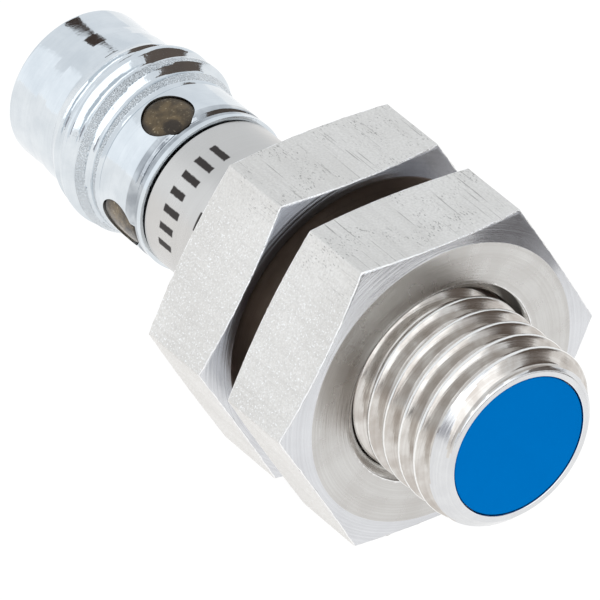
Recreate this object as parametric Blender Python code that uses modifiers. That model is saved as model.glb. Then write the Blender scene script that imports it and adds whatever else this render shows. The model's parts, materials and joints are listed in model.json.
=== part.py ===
"""Short threaded proximity sensor: a steel sleeve on two hexagon nuts, with a plug connector at its rear.

The sensor lies along the X axis.  The origin is the centre of the sensing face, +X points out of that
face, and +Z is up.  Every size is in metres, so a place behind the face has a negative x.
"""

import math

import bmesh
import bpy
from mathutils import Matrix, Vector

MM = 0.001

# Fits between neighbours.
SLIDE_CLEARANCE = 0.05 * MM     # radial, between a tube and what is pushed into it
SEAT_GAP = 0.05 * MM            # axial, between two pieces that meet face to face
SOLDER_GAP = 0.04 * MM          # between the board and what is soldered on it
CUT_REACH = 0.50 * MM           # how far a cutter runs past what it cuts

# Sleeve and its thread.
THREAD_PITCH = 1.0 * MM
THREAD_RADIUS = 3.95 * MM
THREAD_DEPTH = 0.55 * THREAD_PITCH
THREAD_ROOT_FLAT = 0.21 * THREAD_PITCH
THREAD_FLANK = math.radians(30)
THREAD_CUT_REACH = 0.07 * MM
THREAD_LENGTH = 13.8 * MM
SLEEVE_THREAD_PHASE = -1.43 * MM   # place of a groove's middle on the +Y side
SLEEVE_LENGTH = 20.30 * MM
SLEEVE_RIM_RISE = 0.03 * MM        # the rim stands this far in front of the sensing face
SLEEVE_RIM_CHAMFER = 0.63 * MM
SLEEVE_RIM_WALL = 0.25 * MM         # width of the bright ring round the sensing cap
SLEEVE_WALL = 0.505 * MM
SLEEVE_REAR_CHAMFER = 0.06 * MM
ROOT_TO_BODY_STEP = 0.045 * MM      # the plain body is this much thinner than the thread's root

# Sensing cap.
CAP_FACE_THICKNESS = 0.75 * MM
CAP_SKIRT_LENGTH = 6.2 * MM
CAP_SKIRT_WALL = 0.30 * MM
CAP_EDGE = 0.05 * MM

# Hexagon nuts.
NUT_ACROSS_FLATS = 13.0 * MM
NUT_THICKNESS = 4.0 * MM
NUT_FACE_INSET = 0.33 * MM          # from the flats in to the edge of the turned face
NUT_CORNER_DROP = 0.305 * MM
NUT_COUNTERSINK = 0.38 * MM
NUT_RUNNING_CLEARANCE = 0.05 * MM
NUT_FRONT_SETBACK = 5.0 * MM
NUT_GAP = 1.33 * MM

# Coil and its iron, behind the sensing face.
COIL_GAP = 0.15 * MM
SHIELD_WALL = 0.09 * MM
SHIELD_LENGTH = 2.8 * MM
CORE_LENGTH = 2.4 * MM
CORE_RIM_WALL = 0.45 * MM
CORE_POST_RADIUS = 0.95 * MM
CORE_HOLE_RADIUS = 0.35 * MM
CORE_BACK = 0.70 * MM
BOBBIN_WALL = 0.12 * MM
LEAD_RADIUS = 0.06 * MM
LEAD_HOLE_CLEARANCE = 0.14 * MM
LEAD_BOARD_LAP = 0.4 * MM

# Board and what is soldered on it: length along X, width along Y and height along Z.
BOARD_THICKNESS = 0.6 * MM
BOARD_FRONT_SETBACK = 4.2 * MM
BOARD_EDGE_CLEARANCE = 0.12 * MM
BOARD_END_GAP = 0.20 * MM
CHIP_SIZE = (2.4 * MM, 2.4 * MM, 0.75 * MM)
TRANSISTOR_SIZE = (2.9 * MM, 1.3 * MM, 0.95 * MM)
CAPACITOR_SIZE = (1.6 * MM, 0.8 * MM, 0.8 * MM)
RESISTOR_SIZE = (1.6 * MM, 0.8 * MM, 0.45 * MM)
DIODE_SIZE = (1.7 * MM, 1.25 * MM, 0.9 * MM)
LED_SIZE = (0.8 * MM, 0.8 * MM, 0.6 * MM)
LED_END_MARGIN = 0.25 * MM
COMPONENT_EDGE = 0.06 * MM

# Insulating tube and resin round the board.
TUBE_WALL = 0.34 * MM
RESIN_END_INSET = 0.3 * MM
RESIN_SLOT_CLEARANCE = 0.06 * MM

# Plug connector shell, from its spigot inside the sleeve to its rear rim.
SPIGOT_LENGTH = 1.45 * MM
SPIGOT_WALL = 0.50 * MM
SEAL_GROOVE_WIDTH = 0.35 * MM
SEAL_GROOVE_DEPTH = 0.28 * MM
SEAL_WIRE_RADIUS = 0.12 * MM
SEAM_WIDTH = 0.09 * MM
LIP_LENGTH = 0.38 * MM
LIP_CHAMFER = 0.04 * MM
SHELL_STEP = 0.135 * MM            # the shell stands this much proud of the sleeve's plain body
VEE_WIDTH = 0.34 * MM
VEE_DEPTH = 0.24 * MM
WINDOW_BAND_LENGTH = 2.06 * MM
UNDERCUT_WIDTH = 0.26 * MM
UNDERCUT_DEPTH = 0.09 * MM
PLUG_THREAD_RISE = 0.48 * MM
PLUG_THREAD_TAPER = 1.06 * MM
PLUG_THREAD_LAND = 1.05 * MM
PLUG_THREAD_PHASE = -25.19 * MM    # place of a groove's middle on the +Y side
COLLAR_LENGTH = 0.90 * MM
COLLAR_STEP = 0.08 * MM
COLLAR_STEP_LENGTH = 0.70 * MM
REAR_BARREL_LENGTH = 1.55 * MM
REAR_RIM_ROUNDING = 0.22 * MM
SOCKET_WALL = 0.54 * MM
SOCKET_MOUTH_CHAMFER = 0.12 * MM
SOCKET_DEPTH = 5.10 * MM

# Signal windows and the clear ring behind them.
WINDOW_RADIUS = 1.10 * MM
WINDOW_SETBACK = 0.92 * MM         # from the front edge of the window band to the windows' centres
WINDOW_RECESS = 0.09 * MM
WINDOW_FIRST_ANGLE = math.radians(18)
WINDOW_COUNT = 4
LIGHT_RING_MARGIN = 0.07 * MM      # what the ring reaches past the windows' rear edges
LIGHT_RING_WALL = 0.45 * MM

# Contacts and their carrier.
PIN_RADIUS = 0.50 * MM
PIN_CIRCLE_RADIUS = 1.45 * MM
PIN_TIP_SETBACK = 0.85 * MM
PIN_TIP_LENGTH = 0.40 * MM
PIN_TIP_RADIUS = 0.20 * MM
PIN_TAIL_RADIUS = 0.25 * MM
PIN_TAIL_LENGTH = 1.60 * MM
PIN_STEP_INSET = 0.40 * MM
PIN_NUMBERS_AND_ANGLES = ((1, math.radians(-30)), (3, math.radians(210)), (4, math.radians(90)))
LINK_WIRE_RADIUS = 0.12 * MM
LINK_WIRE_REACH = 0.75 * MM
LINK_WIRE_LANDING = 0.19 * MM      # straight end of the wire that lies on the board

# Fineness of the round shapes.
ROUND_STEPS = 48
THREADED_STEPS = 32
FINE_STEPS = 24
SMALL_STEPS = 16
SEAL_SECTION_STEPS = 6
THREAD_STEPS = 24
THREAD_START_TURN = math.radians(2.5)   # keeps the cutter's edges off the edges of the turned blank

# Places along the sleeve that follow from the sizes above.
SLEEVE_ROOT_RADIUS = THREAD_RADIUS - THREAD_DEPTH
SLEEVE_BODY_RADIUS = SLEEVE_ROOT_RADIUS - ROOT_TO_BODY_STEP
SLEEVE_BORE_RADIUS = SLEEVE_BODY_RADIUS - SLEEVE_WALL
SLEEVE_REAR_X = -SLEEVE_LENGTH
CAP_SEAT_RADIUS = THREAD_RADIUS - SLEEVE_RIM_CHAMFER - SLEEVE_RIM_WALL
CAP_RADIUS = CAP_SEAT_RADIUS - SLIDE_CLEARANCE
CAP_SKIRT_RADIUS = SLEEVE_BORE_RADIUS - SLIDE_CLEARANCE
CAP_SKIRT_BORE = CAP_SKIRT_RADIUS - CAP_SKIRT_WALL
CAP_BACK_X = -CAP_FACE_THICKNESS
CAP_REAR_X = CAP_BACK_X - CAP_SKIRT_LENGTH
NUT_FACE_RADIUS = NUT_ACROSS_FLATS / 2 - NUT_FACE_INSET
FRONT_NUT_X = -NUT_FRONT_SETBACK
REAR_NUT_X = FRONT_NUT_X - NUT_THICKNESS - NUT_GAP

COIL_FRONT_X = CAP_BACK_X - COIL_GAP
SHIELD_RADIUS = CAP_SKIRT_BORE - SLIDE_CLEARANCE
CORE_RADIUS = SHIELD_RADIUS - SHIELD_WALL - SLIDE_CLEARANCE
CORE_REAR_X = COIL_FRONT_X - CORE_LENGTH
CORE_WELL_RADIUS = CORE_RADIUS - CORE_RIM_WALL
CORE_WELL_FLOOR_X = CORE_REAR_X + CORE_BACK
BOBBIN_FRONT_X = COIL_FRONT_X - SEAT_GAP
BOBBIN_REAR_X = CORE_WELL_FLOOR_X + SEAT_GAP
BOBBIN_BORE = CORE_POST_RADIUS + SLIDE_CLEARANCE
BOBBIN_RADIUS = CORE_WELL_RADIUS - SLIDE_CLEARANCE
WINDING_BORE = BOBBIN_BORE + BOBBIN_WALL + SLIDE_CLEARANCE
WINDING_RADIUS = BOBBIN_RADIUS - SLIDE_CLEARANCE
LEAD_OFFSET = (WINDING_BORE + WINDING_RADIUS) / 2

SHELL_RADIUS = SLEEVE_BODY_RADIUS + SHELL_STEP
PLUG_THREAD_RADIUS = SHELL_RADIUS + PLUG_THREAD_RISE
PLUG_ROOT_RADIUS = SHELL_RADIUS + ROOT_TO_BODY_STEP
SPIGOT_RADIUS = SLEEVE_BORE_RADIUS - SLIDE_CLEARANCE
SPIGOT_BORE = SPIGOT_RADIUS - SPIGOT_WALL
SPIGOT_FRONT_X = SLEEVE_REAR_X + SPIGOT_LENGTH
LIP_FRONT_X = SLEEVE_REAR_X - SEAM_WIDTH
VEE_FRONT_X = LIP_FRONT_X - LIP_LENGTH
WINDOW_BAND_X = VEE_FRONT_X - VEE_WIDTH
UNDERCUT_X = WINDOW_BAND_X - WINDOW_BAND_LENGTH
PLUG_THREAD_X = UNDERCUT_X - UNDERCUT_WIDTH
PLUG_LAND_X = PLUG_THREAD_X - PLUG_THREAD_TAPER
PLUG_LAND_REAR_X = PLUG_LAND_X - PLUG_THREAD_LAND
COLLAR_X = PLUG_LAND_REAR_X - PLUG_THREAD_TAPER
COLLAR_REAR_X = COLLAR_X - COLLAR_LENGTH
BARREL_X = COLLAR_REAR_X - COLLAR_STEP_LENGTH
BARREL_RADIUS = SHELL_RADIUS - COLLAR_STEP
REAR_RIM_X = BARREL_X - REAR_BARREL_LENGTH
SOCKET_RADIUS = SHELL_RADIUS - SOCKET_WALL
SOCKET_FLOOR_X = REAR_RIM_X + SOCKET_DEPTH
SHELL_SHOULDER_X = WINDOW_BAND_X + VEE_WIDTH / 2
WINDOW_X = WINDOW_BAND_X - WINDOW_SETBACK

CARRIER_RADIUS = SOCKET_RADIUS - SLIDE_CLEARANCE
LIGHT_RING_RADIUS = SOCKET_RADIUS - SLIDE_CLEARANCE
LIGHT_RING_BORE = LIGHT_RING_RADIUS - LIGHT_RING_WALL
LIGHT_RING_REAR_X = WINDOW_X - WINDOW_RADIUS - LIGHT_RING_MARGIN
LIGHT_RING_FRONT_X = SHELL_SHOULDER_X - SEAT_GAP
CARRIER_SHOULDER_X = LIGHT_RING_REAR_X - SEAT_GAP
CARRIER_NECK_RADIUS = LIGHT_RING_BORE - SLIDE_CLEARANCE
CARRIER_FRONT_X = LIGHT_RING_FRONT_X

TUBE_RADIUS = SLEEVE_BORE_RADIUS - SLIDE_CLEARANCE
TUBE_BORE = TUBE_RADIUS - TUBE_WALL
TUBE_FRONT_X = CAP_REAR_X - SEAT_GAP
TUBE_REAR_X = SPIGOT_FRONT_X + SEAT_GAP
RESIN_RADIUS = TUBE_BORE - SLIDE_CLEARANCE
BOARD_FRONT_X = -BOARD_FRONT_SETBACK
BOARD_REAR_X = CARRIER_FRONT_X + BOARD_END_GAP
BOARD_CORNER_RADIUS = min(TUBE_BORE, SPIGOT_BORE) - BOARD_EDGE_CLEARANCE
BOARD_HALF_WIDTH = math.sqrt(BOARD_CORNER_RADIUS**2 - (BOARD_THICKNESS / 2) ** 2)
PIN_TIP_X = REAR_RIM_X + PIN_TIP_SETBACK
PIN_STEP_X = CARRIER_FRONT_X - PIN_STEP_INSET
PIN_TAIL_END_X = CARRIER_FRONT_X + PIN_TAIL_LENGTH - PIN_STEP_INSET


def clear_scene():
    """Remove every object that the file opens with."""
    for obj in list(bpy.data.objects):
        bpy.data.objects.remove(obj, do_unlink=True)


def new_collection(name):
    """Make a collection in the scene and give it back."""
    collection = bpy.data.collections.new(name)
    bpy.context.scene.collection.children.link(collection)
    return collection


def new_material(name, colour, roughness, metallic=0.0, transmission=0.0):
    """Make a Principled material of one plain finish."""
    material = bpy.data.materials.new(name)
    material.use_nodes = True
    material.diffuse_color = (*colour, 1.0)
    shader = material.node_tree.nodes["Principled BSDF"]
    shader.inputs["Base Color"].default_value = (*colour, 1.0)
    shader.inputs["Roughness"].default_value = roughness
    shader.inputs["Metallic"].default_value = metallic
    shader.inputs["Transmission Weight"].default_value = transmission
    return material


def add_object(name, mesh, material=None, collection=None):
    """Put a mesh in the scene: a part when it has a material, and a cutter when it has none."""
    obj = bpy.data.objects.new(name, mesh)
    if material is None:
        obj.display_type = "WIRE"
        obj.hide_render = True
        CUTTERS.objects.link(obj)
    else:
        mesh.materials.append(material)
        (collection or PARTS).objects.link(obj)
    return obj


def mesh_from(bm, name):
    """Turn a bmesh into a mesh with its faces pointing out."""
    bmesh.ops.recalc_face_normals(bm, faces=bm.faces)
    mesh = bpy.data.meshes.new(name)
    bm.to_mesh(mesh)
    bm.free()
    return mesh


def turned(name, outline, material=None, closed=True, steps=ROUND_STEPS, origin_x=0.0):
    """Turn an outline of (x, radius) points about the X axis with a Screw modifier.

    The outline runs from the front down the outer side to the rear.  A closed one comes back up its
    inner side, and an open one starts and ends on the axis.
    """
    bm = bmesh.new()
    points = [bm.verts.new((radius, 0.0, x - origin_x)) for x, radius in outline]
    ends = points[1:] + points[:1] if closed else points[1:]
    for start, end in zip(points, ends):
        bm.edges.new((start, end))
    mesh = bpy.data.meshes.new(name)
    bm.to_mesh(mesh)
    bm.free()
    obj = add_object(name, mesh, material)
    obj.location = (origin_x, 0.0, 0.0)
    obj.rotation_euler = (0.0, math.pi / 2, 0.0)
    screw = obj.modifiers.new("Turn", "SCREW")
    screw.axis = "Z"
    screw.steps = steps
    screw.render_steps = steps
    screw.use_merge_vertices = True
    screw.merge_threshold = 1e-6
    return obj


def box(name, low, high, material=None, edge=0.0):
    """Make a box between two corners, with rounded edges where an edge radius is given."""
    low, high = Vector(low), Vector(high)
    bm = bmesh.new()
    bmesh.ops.create_cube(bm, size=1.0, matrix=Matrix.Diagonal((*(high - low), 1.0)))
    obj = add_object(name, mesh_from(bm, name), material)
    obj.location = (low + high) / 2
    if edge:
        bevel = obj.modifiers.new("Edges", "BEVEL")
        bevel.width = edge
        bevel.segments = 1
        bevel.limit_method = "ANGLE"
    return obj


def round_cutter(name, radius, start, end, segments=SMALL_STEPS):
    """Make a cylinder from one point to another, for cutting a round hole."""
    start, end = Vector(start), Vector(end)
    along = end - start
    turn = Vector((0, 0, 1)).rotation_difference(along).to_matrix().to_4x4()
    bm = bmesh.new()
    bmesh.ops.create_cone(bm, cap_ends=True, segments=segments, radius1=radius, radius2=radius,
                          depth=along.length, matrix=Matrix.Translation((start + end) / 2) @ turn)
    return add_object(name, mesh_from(bm, name))


def boolean(obj, operation, cutter):
    """Cut, join or intersect an object with a cutter."""
    modifier = obj.modifiers.new(cutter.name, "BOOLEAN")
    modifier.operation = operation
    modifier.object = cutter
    modifier.solver = "EXACT"


def wire(name, points, radius, material):
    """Run a round wire with closed ends through some points."""
    curve = bpy.data.curves.new(name, "CURVE")
    curve.dimensions = "3D"
    curve.bevel_depth = radius
    curve.bevel_resolution = 1
    curve.use_fill_caps = True
    spline = curve.splines.new("POLY")
    spline.points.add(len(points) - 1)
    for point, place in zip(spline.points, points):
        point.co = (*place, 1.0)
    curve.materials.append(material)
    obj = bpy.data.objects.new(name, curve)
    PARTS.objects.link(obj)
    return obj


def bent(points, steps=3):
    """Round each inner corner of a path with a short quadratic arc."""
    points = [Vector(point) for point in points]
    path = [points[0]]
    for before, corner, after in zip(points, points[1:], points[2:]):
        start = corner.lerp(before, 0.5)
        end = corner.lerp(after, 0.5)
        for step in range(steps + 1):
            share = step / steps
            path.append(start.lerp(corner, share).lerp(corner.lerp(end, share), share))
    path.append(points[-1])
    return path


def thread_cutter(name, outer_radius, root_radius, phase, front_x, rear_x):
    """Make the long helical vee that cuts a right-handed thread.

    Args:
        name: name of the cutter.
        outer_radius: radius of the crests that the cutter reaches past.
        root_radius: radius of the groove's floor.
        phase: x of a groove's middle where it crosses the +Y side.
        front_x: the cutter reaches at least this far forward.
        rear_x: the cutter reaches at least this far back.
    """
    reach = outer_radius + THREAD_CUT_REACH
    root_half = THREAD_ROOT_FLAT / 2
    mouth_half = root_half + (reach - root_radius) * math.tan(THREAD_FLANK)
    start_x = phase + math.floor((rear_x - phase) / THREAD_PITCH) * THREAD_PITCH
    turns = math.ceil((front_x - start_x) / THREAD_PITCH)
    section = (
        (-mouth_half, reach),
        (mouth_half, reach),
        (root_half, root_radius),
        (-root_half, root_radius),
    )
    bm = bmesh.new()
    start_x += THREAD_PITCH * THREAD_START_TURN / math.tau
    corners = [bm.verts.new(ring_place(start_x + x, radius, THREAD_START_TURN)) for x, radius in section]
    loop = [bm.edges.new(pair) for pair in zip(corners, corners[1:] + corners[:1])]
    bmesh.ops.spin(bm, geom=corners + loop, cent=(0, 0, 0), axis=(1, 0, 0), angle=math.tau * turns,
                   dvec=(THREAD_PITCH / THREAD_STEPS, 0, 0), steps=turns * THREAD_STEPS)
    bmesh.ops.holes_fill(bm, edges=[edge for edge in bm.edges if edge.is_boundary], sides=4)
    return add_object(name, mesh_from(bm, name))


def ring_place(x, radius, angle):
    """A point at an angle round the X axis, counted from +Y towards +Z."""
    return Vector((x, radius * math.cos(angle), radius * math.sin(angle)))


def make_sleeve(steel):
    """Steel tube with the long fine thread; its front rim is chamfered and holds the cap."""
    rim_x = SLEEVE_RIM_RISE
    thread_rear_x = -THREAD_LENGTH
    cap_seat_x = CAP_BACK_X - SEAT_GAP
    outline = (
        (rim_x, THREAD_RADIUS - SLEEVE_RIM_CHAMFER),
        (rim_x - SLEEVE_RIM_CHAMFER, THREAD_RADIUS),
        (thread_rear_x, THREAD_RADIUS),
        (thread_rear_x - (THREAD_RADIUS - SLEEVE_BODY_RADIUS), SLEEVE_BODY_RADIUS),
        (SLEEVE_REAR_X + SLEEVE_REAR_CHAMFER, SLEEVE_BODY_RADIUS),
        (SLEEVE_REAR_X, SLEEVE_BODY_RADIUS - SLEEVE_REAR_CHAMFER),
        (SLEEVE_REAR_X, SLEEVE_BORE_RADIUS),
        (cap_seat_x, SLEEVE_BORE_RADIUS),
        (cap_seat_x, CAP_SEAT_RADIUS),
        (rim_x, CAP_SEAT_RADIUS),
    )
    sleeve = turned("threaded_sleeve", outline, steel, steps=THREADED_STEPS)
    cutter = thread_cutter("sleeve_thread_cutter", THREAD_RADIUS, SLEEVE_ROOT_RADIUS,
                           SLEEVE_THREAD_PHASE, rim_x + THREAD_PITCH, thread_rear_x - THREAD_PITCH)
    boolean(sleeve, "DIFFERENCE", cutter)


def make_cap(plastic):
    """Plastic cup whose floor is the sensing face; its skirt reaches back into the sleeve."""
    outline = (
        (0.0, 0.0),
        (0.0, CAP_RADIUS - CAP_EDGE),
        (-CAP_EDGE, CAP_RADIUS),
        (CAP_BACK_X, CAP_RADIUS),
        (CAP_BACK_X, CAP_SKIRT_RADIUS),
        (CAP_REAR_X, CAP_SKIRT_RADIUS),
        (CAP_REAR_X, CAP_SKIRT_BORE),
        (CAP_BACK_X - SEAT_GAP, CAP_SKIRT_BORE),
        (CAP_BACK_X - SEAT_GAP, 0.0),
    )
    turned("sensing_cap", outline, plastic, closed=False)


def make_nut(name, front_x, steel):
    """Hexagon nut with turned corners on both faces and a countersunk bore; its flats face up and down."""
    corner_radius = NUT_ACROSS_FLATS / math.sqrt(3)
    rear_x = front_x - NUT_THICKNESS
    middle_x = (front_x + rear_x) / 2
    bm = bmesh.new()
    bmesh.ops.create_cone(bm, cap_ends=True, segments=6, radius1=corner_radius, radius2=corner_radius,
                          depth=NUT_THICKNESS, matrix=Matrix.Rotation(math.pi / 2, 4, "Y"))
    nut = add_object(name, mesh_from(bm, name), steel)
    nut.location = (middle_x, 0.0, 0.0)

    reach = corner_radius + NUT_CORNER_DROP
    slope = NUT_CORNER_DROP / (corner_radius - NUT_FACE_RADIUS)
    drop = slope * (reach - NUT_FACE_RADIUS)
    corners = turned(name + "_corner_form", (
        (front_x, 0.0),
        (front_x, NUT_FACE_RADIUS),
        (front_x - drop, reach),
        (rear_x + drop, reach),
        (rear_x, NUT_FACE_RADIUS),
        (rear_x, 0.0),
    ), closed=False, origin_x=middle_x)
    boolean(nut, "INTERSECT", corners)

    bore = THREAD_RADIUS + NUT_RUNNING_CLEARANCE
    past = NUT_COUNTERSINK / 2
    bore_form = turned(name + "_bore_form", (
        (front_x + past, 0.0),
        (front_x + past, bore + NUT_COUNTERSINK + past),
        (front_x - NUT_COUNTERSINK, bore),
        (rear_x + NUT_COUNTERSINK, bore),
        (rear_x - past, bore + NUT_COUNTERSINK + past),
        (rear_x - past, 0.0),
    ), closed=False, origin_x=middle_x)
    boolean(nut, "DIFFERENCE", bore_form)


def make_coil(ferrite, copper_wire, nylon, brass):
    """Pot core with a wound bobbin in its well, inside a thin shield ring, and the coil's two ends."""
    turned("shield_ring", (
        (COIL_FRONT_X, SHIELD_RADIUS),
        (COIL_FRONT_X - SHIELD_LENGTH, SHIELD_RADIUS),
        (COIL_FRONT_X - SHIELD_LENGTH, SHIELD_RADIUS - SHIELD_WALL),
        (COIL_FRONT_X, SHIELD_RADIUS - SHIELD_WALL),
    ), brass, steps=FINE_STEPS)
    core = turned("ferrite_core", (
        (COIL_FRONT_X, CORE_RADIUS),
        (CORE_REAR_X, CORE_RADIUS),
        (CORE_REAR_X, CORE_HOLE_RADIUS),
        (COIL_FRONT_X, CORE_HOLE_RADIUS),
        (COIL_FRONT_X, CORE_POST_RADIUS),
        (CORE_WELL_FLOOR_X, CORE_POST_RADIUS),
        (CORE_WELL_FLOOR_X, CORE_WELL_RADIUS),
        (COIL_FRONT_X, CORE_WELL_RADIUS),
    ), ferrite, steps=FINE_STEPS)
    bobbin = turned("coil_bobbin", (
        (BOBBIN_FRONT_X, BOBBIN_RADIUS),
        (BOBBIN_FRONT_X - BOBBIN_WALL, BOBBIN_RADIUS),
        (BOBBIN_FRONT_X - BOBBIN_WALL, BOBBIN_BORE + BOBBIN_WALL),
        (BOBBIN_REAR_X + BOBBIN_WALL, BOBBIN_BORE + BOBBIN_WALL),
        (BOBBIN_REAR_X + BOBBIN_WALL, BOBBIN_RADIUS),
        (BOBBIN_REAR_X, BOBBIN_RADIUS),
        (BOBBIN_REAR_X, BOBBIN_BORE),
        (BOBBIN_FRONT_X, BOBBIN_BORE),
    ), nylon, steps=FINE_STEPS)
    winding_front_x = BOBBIN_FRONT_X - BOBBIN_WALL - SEAT_GAP
    winding_rear_x = BOBBIN_REAR_X + BOBBIN_WALL + SEAT_GAP
    turned("coil_winding", (
        (winding_front_x, WINDING_RADIUS - LEAD_RADIUS),
        (winding_front_x - LEAD_RADIUS, WINDING_RADIUS),
        (winding_rear_x + LEAD_RADIUS, WINDING_RADIUS),
        (winding_rear_x, WINDING_RADIUS - LEAD_RADIUS),
        (winding_rear_x, WINDING_BORE),
        (winding_front_x, WINDING_BORE),
    ), copper_wire, steps=FINE_STEPS)
    for letter, side in (("a", 1), ("b", -1)):
        hole = round_cutter("lead_hole_cutter_" + letter, LEAD_RADIUS + LEAD_HOLE_CLEARANCE,
                            (winding_rear_x, side * LEAD_OFFSET, 0.0),
                            (CORE_REAR_X - CUT_REACH, side * LEAD_OFFSET, 0.0))
        boolean(core, "DIFFERENCE", hole)
        boolean(bobbin, "DIFFERENCE", hole)
        landing_z = BOARD_THICKNESS / 2 + SOLDER_GAP + LEAD_RADIUS
        path = bent((
            (winding_rear_x - SEAT_GAP, side * LEAD_OFFSET, 0.0),
            (CORE_REAR_X - SEAT_GAP, side * LEAD_OFFSET, 0.0),
            (BOARD_FRONT_X + LEAD_BOARD_LAP / 2, side * LEAD_OFFSET, landing_z),
            (BOARD_FRONT_X - LEAD_BOARD_LAP, side * LEAD_OFFSET, landing_z),
        ))
        wire("coil_lead_" + letter, path, LEAD_RADIUS, copper_wire)


def mounted(name, size, centre_x, side, material):
    """Solder one small box on the board: side 1 is its top and -1 its underside."""
    length, width, height = size
    near_z = BOARD_THICKNESS / 2 + SOLDER_GAP
    heights = sorted((side * near_z, side * (near_z + height)))
    box(name, (centre_x - length / 2, -width / 2, heights[0]),
        (centre_x + length / 2, width / 2, heights[1]), material, COMPONENT_EDGE)


def mounted_row(parts, front_x, rear_x, side):
    """Solder a row of parts on one side of the board with equal gaps between two places.

    Args:
        parts: (name, size, material) of each part, from the front to the rear.
        front_x: where the first gap starts.
        rear_x: where the last gap ends.
        side: 1 for the board's top and -1 for its underside.
    """
    gap = (front_x - rear_x - sum(size[0] for _, size, _ in parts)) / (len(parts) + 1)
    place_x = front_x - gap
    for name, size, material in parts:
        mounted(name, size, place_x - size[0] / 2, side, material)
        place_x -= size[0] + gap


def make_board(laminate, epoxy, ceramic, film, lens):
    """Narrow circuit board along the axis with its parts on both sides and a light at each side's end."""
    half = BOARD_THICKNESS / 2
    box("circuit_board", (BOARD_REAR_X, -BOARD_HALF_WIDTH, -half), (BOARD_FRONT_X, BOARD_HALF_WIDTH, half),
        laminate)
    led_x = BOARD_REAR_X + LED_END_MARGIN + LED_SIZE[0] / 2
    mounted("indicator_led_top", LED_SIZE, led_x, 1, lens)
    mounted("indicator_led_bottom", LED_SIZE, led_x, -1, lens)
    mounted_row((
        ("sensor_chip", CHIP_SIZE, epoxy),
        ("output_transistor", TRANSISTOR_SIZE, epoxy),
    ), TUBE_FRONT_X, led_x + LED_SIZE[0] / 2, 1)
    mounted_row((
        ("smoothing_capacitor", CAPACITOR_SIZE, ceramic),
        ("tuning_resistor", RESISTOR_SIZE, film),
        ("protection_diode", DIODE_SIZE, epoxy),
    ), TUBE_FRONT_X, led_x + LED_SIZE[0] / 2, -1)


def make_tube_and_resin(film, resin):
    """Insulating tube in the sleeve, and the resin round the board with the board's slot right through."""
    turned("insulating_tube", (
        (TUBE_FRONT_X, TUBE_RADIUS),
        (TUBE_REAR_X, TUBE_RADIUS),
        (TUBE_REAR_X, TUBE_BORE),
        (TUBE_FRONT_X, TUBE_BORE),
    ), film, steps=FINE_STEPS)
    front_x = TUBE_FRONT_X - RESIN_END_INSET
    rear_x = TUBE_REAR_X + RESIN_END_INSET
    resin_block = turned("resin_filling", (
        (front_x, 0.0),
        (front_x, RESIN_RADIUS),
        (rear_x, RESIN_RADIUS),
        (rear_x, 0.0),
    ), resin, closed=False, steps=FINE_STEPS)
    past = RESIN_END_INSET
    slot_half = BOARD_THICKNESS / 2 + RESIN_SLOT_CLEARANCE
    board_slot = box("board_slot_cutter",
                     (rear_x - past, -BOARD_HALF_WIDTH - RESIN_SLOT_CLEARANCE, -slot_half),
                     (front_x + past, BOARD_HALF_WIDTH + RESIN_SLOT_CLEARANCE, slot_half))
    widest = max(size[1] for size in (CHIP_SIZE, TRANSISTOR_SIZE, CAPACITOR_SIZE, RESISTOR_SIZE, DIODE_SIZE))
    base = BOARD_THICKNESS / 2 + SOLDER_GAP + RESIN_SLOT_CLEARANCE
    above = base + max(CHIP_SIZE[2], TRANSISTOR_SIZE[2])
    below = base + max(CAPACITOR_SIZE[2], RESISTOR_SIZE[2], DIODE_SIZE[2])
    part_slot = box("component_slot_cutter",
                    (rear_x - past, -widest / 2 - RESIN_SLOT_CLEARANCE, -below),
                    (front_x + past, widest / 2 + RESIN_SLOT_CLEARANCE, above))
    boolean(resin_block, "DIFFERENCE", board_slot)
    boolean(resin_block, "DIFFERENCE", part_slot)


def rounded_rim(x, radius, rounding, steps=3):
    """Points of a quarter circle from the outer side of a rim to its rear face."""
    points = []
    for step in range(steps + 1):
        angle = math.pi / 2 * step / steps
        back = rounding * math.sin(angle)
        out = rounding * math.cos(angle)
        points.append((x + rounding - back, radius - rounding + out))
    return points


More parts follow.
